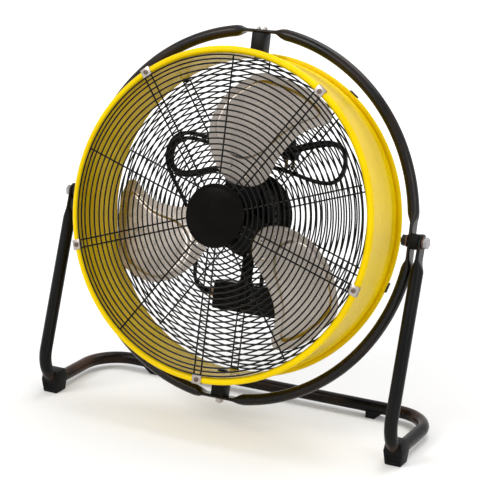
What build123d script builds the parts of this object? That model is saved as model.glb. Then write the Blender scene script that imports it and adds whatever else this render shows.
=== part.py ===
from build123d import *
import os
from math import asin, atan, ceil, cos, degrees, hypot, pi, radians, sin, sqrt, tan

# A drum fan: a short steel drum with a wire guard at each end, a three-blade impeller on a motor
# carried by the rear guard, a round tube hoop round the drum, and a floor stand of one bent tube
# on which the hoop tilts. Lengths are millimetres, angles degrees.
#
# The row frame has +X to the right seen from the front, +Y to the rear and +Z up, floor at z = 0.
# The head is drawn in its own frame, lying on its back: X right, Y up, Z out of the front guard,
# with the tilt axis along X through its origin. place_head() stands it up and tilts it.

# ---- the stand -------------------------------------------------------------------------------
TILT = 12.55            # the head leans back by this much at rest
AXIS_HEIGHT = 354.0     # tilt axis above the floor
LEG_OFF = 19.2          # middle of each leg outside the middle of the hoop's tube
FRONT_REACH = 120.6     # tilt axis to the front corner of the bent tube
REAR_REACH = 94.9       # tilt axis to the crossbar
STAND_TUBE = 22.0       # outside diameter of the stand's tube
RAIL_HEIGHT = 18.8      # middle of the floor rails above the floor
FRONT_BEND = 50.0       # bend radius between leg and rail
REAR_BEND = 66.0        # bend radius between rail and crossbar
LEG_FLAT_THICKNESS = 5.6
LEG_FLAT_WIDTH = 28.0
LEG_FLAT_BELOW = 26.0   # flat stretch of the leg below the tilt axis
LEG_NECK = 22.0         # length over which the round tube turns flat
TUBE_SIDES = 12         # both tubes are drawn with this many flats
BEND_STEP = 19.0        # bends are drawn as chords that turn by no more than this
FLAT_FULLNESS = 0.6     # how far a flattened tube stays flat towards its edges, 0 to 1 (1 least)

# ---- the feet --------------------------------------------------------------------------------
FOOT_LENGTH = 29.0      # front foot along Y at the floor
FOOT_WIDTH = 28.0
FOOT_HEIGHT = 40.0
FOOT_SETBACK = 72.4     # middle of the front foot in front of the tilt axis
FOOT_FLARE = 5.0        # how much wider the front foot is at its shoulder
FOOT_SHOULDER = 24.0    # height at which the front foot is widest
REAR_FOOT_INSET = 115.2 # middle of the rear foot's sole inside the middle of the leg
REAR_FOOT_WIDTH = 17.0
REAR_FOOT_LENGTH = 23.6
REAR_FOOT_TOP_WIDTH = 34.0
REAR_FOOT_HEIGHT = 15.0

# ---- the hoop --------------------------------------------------------------------------------
HOOP_OFF = 44.8         # middle of the hoop's tube outside the drum's bore
HOOP_TUBE = 19.5
HOOP_SETBACK = 6.4      # middle plane of the hoop behind the tilt axis
HOOP_FLAT_LENGTH = 60.0
HOOP_FLAT_THICKNESS = 5.6
HOOP_FLAT_WIDTH = 27.0
HOOP_NECK = 12.0        # length over which the hoop's tube turns flat
HOOP_FLAT_DROP = 0.8    # the pressed flats lie this much nearer to the middle
HOOP_CHORDS = 9         # the round tube between two flats is drawn as this many chords

# ---- the tilt pivots -------------------------------------------------------------------------
PIVOT_BOLT = 10.0       # thread diameter
PIVOT_PLAY = 0.08       # radial clearance of the bolt in leg and hoop
PIVOT_FACE_GAP = 0.2    # running gap between hoop, washer and spacer
PIVOT_WASHER = 21.0
PIVOT_WASHER_THICKNESS = 2.0
PIVOT_HEAD_HEIGHT = 6.4
PIVOT_HEX = 17.0        # across flats of head and nut
PIVOT_NUT_HEIGHT = 8.0
PIVOT_SPACER = 26.0     # outside diameter of the spacer
BOLT_PROTRUSION = 2.0   # thread past a nut

# ---- the drum --------------------------------------------------------------------------------
BORE_RADIUS = 268.0     # inside of the drum
DRUM_WALL = 1.5
DRUM_FRONT = 85.7       # front of the front bead before the tilt axis
DRUM_REAR = 50.2        # rear of the rear bead behind the tilt axis
FRONT_BEAD = 12.0       # diameter of the wired edge at the front
REAR_BEAD = 9.6
BEAD_FLAT = 0.42        # flat part of a bead's section, as a share of its diameter
DRUM_SIDES = 40         # the drum is drawn with this many flats: one under each clip and bracket

# ---- the brackets between drum and hoop ------------------------------------------------------
BRACKET_WIDTH = 24.0    # along X
BRACKET_DEPTH = 24.0    # along the drum
BRACKET_SHEET = 2.0
BRACKET_CORNER = 1.8
HOOP_SCREW = 4.0        # two of these hold the top bracket to the hoop
HOOP_SCREW_PITCH = 12.0
HOOP_SCREW_NUT = 7.0
HOOP_SCREW_HEAD = 7.5
HOOP_BOLT = 8.0         # one of these holds the bottom bracket
HOOP_BOLT_HEX = 13.0
DRUM_BOLT = 6.0
DRUM_BOLT_HEAD = 18.0
DRUM_BOLT_RISE = 3.0    # height of that low head inside the drum
DRUM_BOLT_HEX = 10.0
HOLE_PLAY = 0.15        # radial clearance of the small fasteners
SHANK_SIDES = 6         # small fasteners and their holes are drawn with this many sides
HEAD_SIDES = 8
WASHER_SIDES = 12
ROUND_SIDES = 16        # and larger round pieces with this many
NUT_HEIGHT = 0.8        # of a small nut, as a share of its thread
SCREW_HEAD_HEIGHT = 0.65

# ---- the guards ------------------------------------------------------------------------------
WIRE = 2.8
RING_FIRST = 61.5       # radius of the first ring outside the cap
RING_COUNT = 21         # evenly spaced rings
RING_STEP = 6.95        # the outermost rings are closer
RING_STEPS = 2
RING_INSET = 3.0        # middle of the outermost ring inside the drum's bore
HUB_RING = 38.0         # hidden ring under the cap
RING_SIDES = 16         # rings are drawn with this many straight sides
SPOKES = 5              # pairs of spokes, with a single spoke halfway between two pairs
PAIR_SPACING = 13.0
SPOKE_START = 35.0
CAP_RADIUS = 53.4
CAP_RIM = 3.4
CAP_DOME = 4.5
CAP_SHEET = 1.2
CAP_SHOULDER = 30.0     # the dome is drawn as two bands that meet at this radius
CAP_CROWN = 6.0         # radius of the flat in its middle
CAP_SIDES = 20
CLIP_WIDTH = 17.0
CLIP_SHEET = 1.2
CLIP_LIP = 7.0
CLIP_TONGUE = 8.0       # narrow tongue that hooks behind the outermost ring
CLIP_SCREW = 4.0
CLIP_SCREW_HEAD = 8.2
CLIP_SCREW_RISE = 2.6
CLIP_SCREW_DEPTH = 5.0

# ---- the motor -------------------------------------------------------------------------------
PLATE_RADIUS = 75.0     # disc that closes the middle of the rear guard
PLATE_SHEET = 3.0
MOTOR_RADIUS = 62.0
MOTOR_FRONT = -6.0      # front of the motor's front cover, along the drum
MOTOR_WALL = 3.0
MOTOR_REAR_WALL = 4.0
COVER_THICKNESS = 4.0
SHAFT = 12.0
BEARING_OUTSIDE = 28.0
BEARING_WIDTH = 8.0
BEARING_SEAT_WALL = 4.0
BEARING_PLAY = 0.03     # radial clearance of the shaft in the bearings
ROTOR_RADIUS = 35.0
AIR_GAP = 0.6
STACK_LENGTH = 17.0     # length of the laminated stack
WINDING_HEIGHT = 5.0
WINDING_WIDTH = 16.0
MOTOR_BOLT = 5.0
MOTOR_BOLT_CIRCLE = 90.0
MOTOR_BOLT_HEX = 8.0
SLEEVE_WALL = 3.0       # spacing sleeves on the shaft
VENTS = 10
VENT_WIDTH = 6.0

# ---- the impeller ----------------------------------------------------------------------------
BLADES = 3
BLADE_SHEET = 1.5
BLADE_PITCH = 14.24     # slope of the chord against the plane of turning
BLADE_ADVANCE = 18.8    # blade chord on its radial line, before the tilt axis
BLADE_CAMBER = 9.0      # height of the pressed curve over its chord
BLADE_CHORD = 202.0
BLADE_MIDDLE = 44.0     # middle of the chord beside the blade's radial line
TIP_GAP = 25.0          # from the blades' tips to the drum
DRAWN_TIP = 243.0       # tip radius for which the blade's and the arm's outlines are drawn
CAMBER_STEP = 5.0       # the pressed curve is drawn as flats that turn by this much
ARM_SHEET = 3.0
HUB_RADIUS = 24.0
HUB_FRONT = 32.0
HUB_REAR = -2.5
RIVET = 5.0
RIVET_HEAD = 8.0
RIVET_RISE = 1.6
HUB_NUT_HEX = 17.0
HUB_NUT_HEIGHT = 8.0
HUB_THREAD = 10.0
HUB_WASHER = 20.0

# ---- the switch box --------------------------------------------------------------------------
BOX_WIDTH = 124.0
BOX_HEIGHT = 50.0
BOX_DEPTH = 38.0
BOX_WALL = 2.0
BOX_DROP = 146.0        # middle of the box below the fan's axis
BOX_CORNER = 4.0
LID_LIP = 6.0
LID_SCREW = 3.0
LID_SCREW_HEAD = 6.0
LID_SCREW_LENGTH = 9.0
LID_SCREW_INSET = 8.0   # of the lid screws from the box's edges
STRAP_WIDTH = 22.0
STRAP_SHEET = 2.5
STRAP_TOP = 44.0
STRAP_FOOT_WIDTH = 44.0
STRAP_INSET = 7.0       # of the strap's screws from its edges
STRAP_FLARE = 18.0      # height over which the strap widens to its foot
STRAP_OVERLAP = 8.0     # the foot ends this far below the box's middle
STRAP_SCREW = 4.0
STRAP_SCREW_HEX = 7.0
CAPACITOR = (46.0, 18.0, 26.0)
CAPACITOR_X = -25.0
SWITCH_BODY = 32.0
SWITCH_BODY_DEPTH = 20.0
SWITCH_X = 30.0
SWITCH_SPINDLE = 6.0
SWITCH_BUSH = 10.0
KNOB_RADIUS = 16.0
KNOB_HEIGHT = 15.0
KNOB_GAP = 1.0
KNOB_SHANK_PLAY = 0.2

# ---- the lead, the hank and the plug -----------------------------------------------------------
CORD = 7.0
CORD_SIDES = 5          # the lead and the hank are drawn with this many flats
GLAND_HEX = 20.0
GLAND_LENGTH = 14.0
GLAND_SHANK = 12.0
MOTOR_LEAD = 8.0
MOTOR_LEAD_X = 22.0
MOTOR_LEAD_BEND = 18.0
MOTOR_LEAD_START = 66.0
HANK_X = -11.0          # middle of the hank
HANK_Y = 96.0
HANK_SLANT = 0.06       # its right end sits higher
HANK_HALF_LENGTH = 176.0
HANK_HALF_HEIGHT = 43.0
HANK_WAIST = 13.5       # half height where the tie draws it in
HANK_SWELL = 3.0        # how fullly the loops swell beside the waist
HANK_PITCH = 10.5       # from turn to turn in the loops
HANK_WAIST_PITCH = 8.2
HANK_LAYER = 8.0
HANK_START = 160.0      # where the lead joins, as an angle clockwise round the hank
HANK_END = 995.0        # where the tail leaves it for the plug
HANK_CLIMB = 76.0       # the climb takes this much of the angle, each side of the middle
HANK_QUARTER = 38.3     # the loops are widest at this angle from their ends
TAIL_RISE = 14.5        # the plug lies this far behind the second layer
TAIL_BEND = 12.0        # bend of the tail over the plug
PLUG_X = 45.0           # where the cord enters the plug
PLUG_Y = 135.0
CORD_CLEARANCE = 0.6
TIE_WIDTH = 12.0
TIE_PLAY = 0.9          # gap between the tie and the hank's outer turns
TIE_THICKNESS = 1.5
PLUG_LENGTH = 34.0
PLUG_WIDTH = 26.0
PLUG_DEPTH = 20.0
PLUG_RELIEF = 10.0      # length of the moulded strain relief
PIN_LENGTH = 17.0
PIN_WIDTH = 6.3
PIN_THICKNESS = 1.6
PIN_SPACING = 12.7
SEAT = 0.3              # gap between soft pieces and what they lie on

# ---- worked out from the above -----------------------------------------------------------------
HOOP_RADIUS = BORE_RADIUS + HOOP_OFF
HALF_WIDTH = HOOP_RADIUS + LEG_OFF
REAR_FOOT_X = HALF_WIDTH - REAR_FOOT_INSET
BLADE_TIP = BORE_RADIUS - TIP_GAP
BLADE_SCALE = BLADE_TIP / DRAWN_TIP
FRONT_BEAD_RADIUS = BORE_RADIUS + FRONT_BEAD / 2
REAR_BEAD_RADIUS = BORE_RADIUS + REAR_BEAD / 2
DRUM_OUTSIDE = BORE_RADIUS + DRUM_WALL
FRONT_BEAD_Z = DRUM_FRONT - FRONT_BEAD / 2
REAR_BEAD_Z = -DRUM_REAR + REAR_BEAD / 2
LEAN = radians(TILT)
# The row's origin is under the middle of the whole depth: drum's lower front edge to upper rear edge.
LOWEST_FRONT = FRONT_BEAD_Z * cos(LEAN) + FRONT_BEAD_RADIUS * sin(LEAN) + FRONT_BEAD / 2
UPPER_REAR = -REAR_BEAD_Z * cos(LEAN) + REAR_BEAD_RADIUS * sin(LEAN) + REAR_BEAD / 2
AXIS_Y = (LOWEST_FRONT - UPPER_REAR) / 2

HOOP_FLAT_IN = HOOP_RADIUS - HOOP_FLAT_DROP - HOOP_FLAT_THICKNESS / 2
HOOP_FLAT_OUT = HOOP_FLAT_IN + HOOP_FLAT_THICKNESS
LEG_IN = HALF_WIDTH - LEG_FLAT_THICKNESS / 2
LEG_OUT = HALF_WIDTH + LEG_FLAT_THICKNESS / 2
LEG_LEAN = degrees(atan(FRONT_REACH / (AXIS_HEIGHT - RAIL_HEIGHT)))

OUTER_RING = BORE_RADIUS - RING_INSET
RING_PITCH = (OUTER_RING - RING_STEP * RING_STEPS - RING_FIRST) / (RING_COUNT - 1)
GUARD_END = OUTER_RING + WIRE / 2
CLIP_ANGLE = 360 / SPOKES / 2
MOTOR_REAR = -(DRUM_REAR + CLIP_SHEET)      # rear face of the rear guard's spokes
STRAP_FACE = MOTOR_REAR - PLATE_SHEET       # rear face of the motor plate
BOX_FACE = STRAP_FACE - STRAP_SHEET         # front face of the switch box
BOX_REAR = BOX_FACE - BOX_DEPTH
BOX_MIDDLE = (BOX_FACE + BOX_REAR) / 2
RING_REAR = MOTOR_REAR - WIRE               # rear face of the rear guard's rings
HANK_Z = RING_REAR - CORD_CLEARANCE - CORD / 2
CAMBER_RADIUS = (BLADE_CHORD / 2) ** 2 / (2 * BLADE_CAMBER) + BLADE_CAMBER / 2


def place_head(shape):
    """Stands a piece of the head up on the tilt axis and leans it back."""
    return Pos(0, AXIS_Y, AXIS_HEIGHT) * Rot(X=90 - TILT) * shape


def clockwise(angle):
    """A turn about the drum's axis, clockwise seen from the front."""
    return Rot(Z=-angle)


def both_sides(shape):
    """A piece on the right and its mirror image on the left."""
    return Compound(children=[shape, mirror(shape, about=Plane.YZ)])


def group(shapes):
    """Separate solids that share one node."""
    solids = []
    for shape in shapes:
        solids += shape.solids()
    return Compound(children=solids)


def disc(radius, low, high):
    """A cylinder along Z between two heights."""
    return Pos(0, 0, (low + high) / 2) * Cylinder(radius, high - low)


def drum(radius, low, high):
    """A large round piece along Z, drawn with flats."""
    return prism(radius, ROUND_SIDES, low, high)


def ring(outside, inside, low, high, sides=ROUND_SIDES):
    """A ring drawn with flats; its hole just clears a round of the given radius."""
    outline = RegularPolygon(outside, sides) - RegularPolygon(inside, sides, major_radius=False)
    return Pos(0, 0, low) * extrude(outline, high - low)


def clears(radius, sides):
    """Corner radius of a many-sided hole whose flats just clear a round of this radius."""
    return radius / cos(pi / sides)


def prism(radius, sides, low, high):
    """A many-sided prism along Z with its corners on a circle."""
    return Pos(0, 0, low) * extrude(RegularPolygon(radius, sides), high - low)


def pin(radius, low, high):
    """The shank of a small fastener, or with a clearance the hole for one."""
    return prism(radius, SHANK_SIDES, low, high)


def head(radius, low, high):
    """The round head of a small fastener."""
    return prism(radius, HEAD_SIDES, low, high)


def block(x0, x1, y0, y1, z0, z1):
    """A box between two corners."""
    return Pos((x0 + x1) / 2, (y0 + y1) / 2, (z0 + z1) / 2) * Box(x1 - x0, y1 - y0, z1 - z0)


def hexagon(across, low, high):
    """A hexagonal prism along Z, with a flat facing Y."""
    return Pos(0, 0, low) * extrude(RegularPolygon(across / 2, 6, major_radius=False), high - low)


def along_x(shape):
    """Turns a piece drawn along Z to lie along +X."""
    return Rot(Y=90) * shape


def along_y(shape):
    """Turns a piece drawn along Z to lie along +Y."""
    return Rot(X=-90) * shape


# ---- stand -----------------------------------------------------------------------------------
def corner_angles():
    return [radians((i + 0.5) * 360 / TUBE_SIDES) for i in range(TUBE_SIDES)]


def round_corners(diameter):
    """Section of a round tube: the corners of a polygon on the circle."""
    return [(diameter / 2 * cos(a), diameter / 2 * sin(a)) for a in corner_angles()]


def flat_corners(thickness, width):
    """The same tube pressed flat, corner for corner; its thickness is along the sketch's X."""
    widest = max(sin(a) for a in corner_angles())
    points = []
    for a in corner_angles():
        x = min(abs(cos(a)) / cos(radians(45)), 1) * thickness / 2
        y = (abs(sin(a)) / widest) ** FLAT_FULLNESS * width / 2
        points.append((x if cos(a) > 0 else -x, y if sin(a) > 0 else -y))
    return points


def section(corners):
    return make_face(Polyline(*corners, close=True))


def between(corners, plane, others, end):
    """The neck between two sections with as many corners, its sides drawn as flat triangles."""
    first = [plane.from_local_coords((x, y, 0)) for x, y in corners]
    last = [end.from_local_coords((x, y, 0)) for x, y in others]
    faces = [make_face(Polyline(*first, close=True)).face(), make_face(Polyline(*last, close=True)).face()]
    for a, b, c, d in zip(first, first[1:] + first[:1], last, last[1:] + last[:1]):
        faces.append(make_face(Polyline(a, b, c, close=True)).face())
        faces.append(make_face(Polyline(c, b, d, close=True)).face())
    return Part() + Solid(Shell(faces))


def bent_line(corners, radii):
    """Straight runs whose bends are drawn with short chords."""
    corners = [Vector(*corner) for corner in corners]
    points = corners[:1]
    for before, corner, after, radius in zip(corners, corners[1:], corners[2:], radii):
        ahead = (corner - before).normalized()
        turned = (after - corner).normalized()
        turn = radians(ahead.get_angle(turned))
        inward = (turned - ahead * ahead.dot(turned)).normalized()
        start = corner - ahead * radius * tan(turn / 2)
        chords = ceil(degrees(turn) / BEND_STEP)
        for i in range(chords + 1):
            angle = turn * i / chords
            points.append(start + ahead * radius * sin(angle) + inward * radius * (1 - cos(angle)))
    return Polyline(*points, corners[-1])


def mitred(outline, path, x_dir):
    """An outline run along a line of chords, with mitred joints."""
    start = Plane(origin=path @ 0, x_dir=x_dir, z_dir=path % 0)
    return sweep(start * outline, path=path, transition=Transition.RIGHT)


def leg_top():
    """The flattened upper end of the right leg, along +Z up to its rounded end, axis at z = 0."""
    end = LEG_FLAT_WIDTH / 2
    half = LEG_FLAT_THICKNESS / 2
    flat = flat_corners(LEG_FLAT_THICKNESS, LEG_FLAT_WIDTH)
    seam = Plane(origin=(0, 0, -LEG_FLAT_BELOW))
    strap = extrude(seam * section(flat), LEG_FLAT_BELOW)
    strap += along_x(prism(end, WASHER_SIDES, -half, half))
    neck = between(flat, seam, round_corners(STAND_TUBE), Plane(origin=(0, 0, -LEG_FLAT_BELOW - LEG_NECK)))
    bore = along_x(Cylinder(PIVOT_BOLT / 2 + PIVOT_PLAY, LEG_FLAT_THICKNESS * 2))
    return Pos(HALF_WIDTH, AXIS_Y, AXIS_HEIGHT) * Rot(X=-LEG_LEAN) * (strap + neck - bore)


def stand_frame():
    """One tube: leg, front bend, floor rail, rear bend, crossbar, and back up the other side."""
    lean = radians(LEG_LEAN)
    below = LEG_FLAT_BELOW + LEG_NECK
    top_y = AXIS_Y - below * sin(lean)
    top_z = AXIS_HEIGHT - below * cos(lean)
    front_y = AXIS_Y - FRONT_REACH
    rear_y = AXIS_Y + REAR_REACH
    corners = [
        (HALF_WIDTH, top_y, top_z),
        (HALF_WIDTH, front_y, RAIL_HEIGHT),
        (HALF_WIDTH, rear_y, RAIL_HEIGHT),
        (-HALF_WIDTH, rear_y, RAIL_HEIGHT),
        (-HALF_WIDTH, front_y, RAIL_HEIGHT),
        (-HALF_WIDTH, top_y, top_z),
    ]
    path = bent_line(corners, [FRONT_BEND, REAR_BEND, REAR_BEND, FRONT_BEND])
    tube = mitred(section(round_corners(STAND_TUBE)), path, (1, 0, 0))
    right = leg_top()
    return tube + right + mirror(right, about=Plane.YZ)


def front_foot(frame):
    """A moulded block with a flared shoulder, which the front bend sinks into."""
    shoulder = Rectangle(FOOT_WIDTH + FOOT_FLARE, FOOT_LENGTH + FOOT_FLARE)
    body = drafted(shoulder, 0, FOOT_SHOULDER, FOOT_FLARE / 2, False)
    body += drafted(shoulder, FOOT_SHOULDER, FOOT_HEIGHT, FOOT_FLARE / 2)
    return Pos(HALF_WIDTH, AXIS_Y - FOOT_SETBACK, 0) * body - frame


def rear_foot(frame):
    """A wedge under the crossbar: upright on its inner side, slanting on its outer side."""
    inner = REAR_FOOT_X - REAR_FOOT_WIDTH / 2
    profile = Plane.XZ * Polyline(
        (inner, 0),
        (inner + REAR_FOOT_WIDTH, 0),
        (inner + REAR_FOOT_TOP_WIDTH, REAR_FOOT_HEIGHT),
        (inner, REAR_FOOT_HEIGHT),
        close=True,
    )
    body = extrude(make_face(profile), REAR_FOOT_LENGTH / 2, both=True)
    return Pos(0, AXIS_Y + REAR_REACH, 0) * body - frame


# ---- tilt pivots -----------------------------------------------------------------------------
def at_pivot(shape):
    """Puts a piece drawn along +X on the right-hand pivot, and its mirror image on the left."""
    return both_sides(Pos(0, AXIS_Y, AXIS_HEIGHT) * shape)


PIVOT_HEAD_AT = LEG_OUT + PIVOT_WASHER_THICKNESS
PIVOT_NUT_AT = HOOP_FLAT_IN - PIVOT_FACE_GAP - PIVOT_WASHER_THICKNESS


def pivot_bolts():
    head = hexagon(PIVOT_HEX, PIVOT_HEAD_AT, PIVOT_HEAD_AT + PIVOT_HEAD_HEIGHT)
    shank = disc(PIVOT_BOLT / 2, PIVOT_NUT_AT - PIVOT_NUT_HEIGHT - BOLT_PROTRUSION, PIVOT_HEAD_AT)
    return at_pivot(along_x(head + shank))


def pivot_nuts():
    nut = hexagon(PIVOT_HEX, PIVOT_NUT_AT - PIVOT_NUT_HEIGHT, PIVOT_NUT_AT)
    thread = clears(PIVOT_BOLT / 2, HEAD_SIDES)
    nut -= head(thread, PIVOT_NUT_AT - 2 * PIVOT_NUT_HEIGHT, PIVOT_NUT_AT + 1)
    return at_pivot(along_x(nut))


def pivot_washers():
    hole = PIVOT_BOLT / 2 + PIVOT_PLAY
    seat = PIVOT_NUT_AT + PIVOT_WASHER_THICKNESS
    outer = ring(PIVOT_WASHER / 2, hole, LEG_OUT, PIVOT_HEAD_AT, WASHER_SIDES)
    inner = ring(PIVOT_WASHER / 2, hole, PIVOT_NUT_AT, seat, WASHER_SIDES)
    return group([at_pivot(along_x(outer)), at_pivot(along_x(inner))])


def pivot_spacers():
    hole = PIVOT_BOLT / 2 + PIVOT_PLAY
    low = HOOP_FLAT_OUT + PIVOT_FACE_GAP
    return at_pivot(along_x(ring(PIVOT_SPACER / 2, hole, low, LEG_IN, WASHER_SIDES)))


# ---- hoop ------------------------------------------------------------------------------------
def hoop_plane(turn, radius, along=0):
    """A plane across the hoop's tube, "turn" degrees clockwise from the top, X outwards."""
    out = Vector(sin(radians(turn)), cos(radians(turn)), 0)
    ahead = Vector(cos(radians(turn)), -sin(radians(turn)), 0)
    return Plane(origin=out * radius + ahead * along + Vector(0, 0, -HOOP_SETBACK), x_dir=out, z_dir=ahead)


def hoop_quarter():
    """One flat with a neck on each side, and the round tube from there to the next flat."""
    reach = HOOP_FLAT_LENGTH / 2
    start = degrees(asin((reach + HOOP_NECK) / HOOP_RADIUS))
    flat = flat_corners(HOOP_FLAT_THICKNESS, HOOP_FLAT_WIDTH)
    tube = round_corners(HOOP_TUBE)
    seam = hoop_plane(0, HOOP_RADIUS - HOOP_FLAT_DROP, reach)
    strap = extrude(seam * section(flat), -2 * reach)
    neck = between(flat, seam, tube, hoop_plane(start, HOOP_RADIUS))
    step = (90 - 2 * start) / HOOP_CHORDS
    planes = [hoop_plane(start + i * step, HOOP_RADIUS) for i in range(HOOP_CHORDS + 1)]
    bow = loft([plane * section(tube) for plane in planes], ruled=True)
    return strap + neck + mirror(neck, about=Plane.YZ) + bow


def hoop_bores():
    """Holes in the four flats: two screws at the top, pivots at the sides, one bolt below."""
    length = HOOP_FLAT_THICKNESS * 3
    hoop_line = HOOP_RADIUS - HOOP_FLAT_DROP
    pivot = along_x(Cylinder(PIVOT_BOLT / 2 + PIVOT_PLAY, length))
    cuts = [Pos(hoop_line, 0, 0) * pivot, Pos(-hoop_line, 0, 0) * pivot]
    screw = along_y(pin(HOOP_SCREW / 2 + HOLE_PLAY, hoop_line - length, hoop_line + length))
    for side in (-1, 1):
        cuts.append(Pos(side * HOOP_SCREW_PITCH / 2, 0, -HOOP_SETBACK) * screw)
    bolt = along_y(pin(HOOP_BOLT / 2 + HOLE_PLAY, -hoop_line - length, -hoop_line + length))
    cuts.append(Pos(0, 0, -HOOP_SETBACK) * bolt)
    return cuts


def hoop_frame():
    quarter = hoop_quarter()
    frame = quarter
    for turn in (90, 180, 270):
        frame += clockwise(turn) * quarter
    for cut in hoop_bores():
        frame -= cut
    return frame


# ---- brackets --------------------------------------------------------------------------------
def bracket():
    """A pressed box, open to the rear, that stands on the drum and carries the hoop's flat."""
    half = BRACKET_WIDTH / 2
    z_front = -HOOP_SETBACK + BRACKET_DEPTH / 2
    z_rear = z_front - BRACKET_DEPTH
    outer = block(-half, half, DRUM_OUTSIDE, HOOP_FLAT_IN, z_rear, z_front)
    outer = chamfer(outer.edges().filter_by(Axis.Y).group_by(Axis.Z)[-1], BRACKET_CORNER)
    outer -= block(
        -half + BRACKET_SHEET, half - BRACKET_SHEET, DRUM_OUTSIDE + BRACKET_SHEET,
        HOOP_FLAT_IN - BRACKET_SHEET, z_rear - 1, z_front - BRACKET_SHEET,
    )
    hole = pin(DRUM_BOLT / 2 + HOLE_PLAY, DRUM_OUTSIDE - BRACKET_SHEET, DRUM_OUTSIDE + 3 * BRACKET_SHEET)
    return outer - Pos(0, 0, -HOOP_SETBACK) * along_y(hole)


def top_bracket():
    reach = 2 * BRACKET_SHEET
    hole = along_y(pin(HOOP_SCREW / 2 + HOLE_PLAY, HOOP_FLAT_IN - reach, HOOP_FLAT_IN + reach))
    piece = bracket()
    for side in (-1, 1):
        piece -= Pos(side * HOOP_SCREW_PITCH / 2, 0, -HOOP_SETBACK) * hole
    return piece


def bottom_bracket():
    reach = 2 * BRACKET_SHEET
    hole = along_y(pin(HOOP_BOLT / 2 + HOLE_PLAY, HOOP_FLAT_IN - reach, HOOP_FLAT_IN + reach))
    return Rot(Z=180) * (bracket() - Pos(0, 0, -HOOP_SETBACK) * hole)


def bracket_bolts():
    """Through the hoop: two screws at the top and one bolt at the bottom, heads in the bracket."""
    inside = HOOP_FLAT_IN - BRACKET_SHEET
    screw_end = HOOP_FLAT_OUT + HOOP_SCREW * NUT_HEIGHT + BOLT_PROTRUSION
    screw = head(HOOP_SCREW_HEAD / 2, inside - HOOP_SCREW * SCREW_HEAD_HEIGHT, inside)
    screw += pin(HOOP_SCREW / 2, inside, screw_end)
    bolt_end = HOOP_FLAT_OUT + HOOP_BOLT * NUT_HEIGHT + BOLT_PROTRUSION
    bolt = hexagon(HOOP_BOLT_HEX, inside - HOOP_BOLT * SCREW_HEAD_HEIGHT, inside)
    bolt += pin(HOOP_BOLT / 2, inside, bolt_end)
    pieces = [Pos(side * HOOP_SCREW_PITCH / 2, 0, -HOOP_SETBACK) * along_y(screw) for side in (-1, 1)]
    pieces.append(Pos(0, 0, -HOOP_SETBACK) * Rot(Z=180) * along_y(bolt))
    return group(pieces)


def bracket_nuts():
    screw_nut = hexagon(HOOP_SCREW_NUT, HOOP_FLAT_OUT, HOOP_FLAT_OUT + HOOP_SCREW * NUT_HEIGHT)
    screw_nut -= pin(HOOP_SCREW / 2, HOOP_FLAT_OUT - 1, HOOP_FLAT_OUT + HOOP_SCREW * 2)
    bolt_nut = hexagon(HOOP_BOLT_HEX, HOOP_FLAT_OUT, HOOP_FLAT_OUT + HOOP_BOLT * NUT_HEIGHT)
    bolt_nut -= pin(HOOP_BOLT / 2, HOOP_FLAT_OUT - 1, HOOP_FLAT_OUT + HOOP_BOLT * 2)
    pieces = [
        Pos(side * HOOP_SCREW_PITCH / 2, 0, -HOOP_SETBACK) * along_y(screw_nut) for side in (-1, 1)
    ]
    pieces.append(Pos(0, 0, -HOOP_SETBACK) * Rot(Z=180) * along_y(bolt_nut))
    return group(pieces)


DRUM_NUT_AT = DRUM_OUTSIDE + BRACKET_SHEET


def top_and_bottom(shape):
    """A piece drawn along +Z from the drum's axis, at the top and at the bottom of the drum."""
    upright = Pos(0, 0, -HOOP_SETBACK) * along_y(shape)
    return group([upright, Rot(Z=180) * upright])


def drum_bolts():
    """Low round heads inside the drum, shanks through its wall and the bracket's foot."""
    low_head = head(DRUM_BOLT_HEAD / 2, BORE_RADIUS - DRUM_BOLT_RISE, BORE_RADIUS)
    end = DRUM_NUT_AT + DRUM_BOLT * NUT_HEIGHT + BOLT_PROTRUSION
    return top_and_bottom(low_head + pin(DRUM_BOLT / 2, BORE_RADIUS, end))


def drum_nuts():
    high = DRUM_NUT_AT + DRUM_BOLT * NUT_HEIGHT
    nut = hexagon(DRUM_BOLT_HEX, DRUM_NUT_AT, high)
    return top_and_bottom(nut - pin(DRUM_BOLT / 2, DRUM_NUT_AT - 1, high + 1))


# ---- drum ------------------------------------------------------------------------------------
def drafted(outline, low, high, narrowing, widest_low=True):
    """An outline run between two heights, its walls drawn in from the wide end."""
    slope = degrees(atan(narrowing / (high - low)))
    if widest_low:
        return Pos(0, 0, low) * extrude(outline, high - low, taper=slope)
    return Pos(0, 0, high) * Rot(X=180) * extrude(outline, high - low, taper=slope)


def taper(first, last, low, high, sides):
    """A many-sided frustum along Z; its radii are to the middles of its flats, one facing X."""
    outline = RegularPolygon(max(first, last), sides, major_radius=False, rotation=180 / sides)
    return drafted(outline, low, high, abs(first - last), first >= last)


def drum_bead(middle, diameter):
    """The edge rolled outwards over a wire."""
    flat = diameter * BEAD_FLAT / 2
    crest = BORE_RADIUS + diameter
    brow = BORE_RADIUS + diameter / 2 + flat
    bead = taper(brow, crest, middle - diameter / 2, middle - flat, DRUM_SIDES)
    bead += taper(crest, crest, middle - flat, middle + flat, DRUM_SIDES)
    return bead + taper(crest, brow, middle + flat, middle + diameter / 2, DRUM_SIDES)


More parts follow.
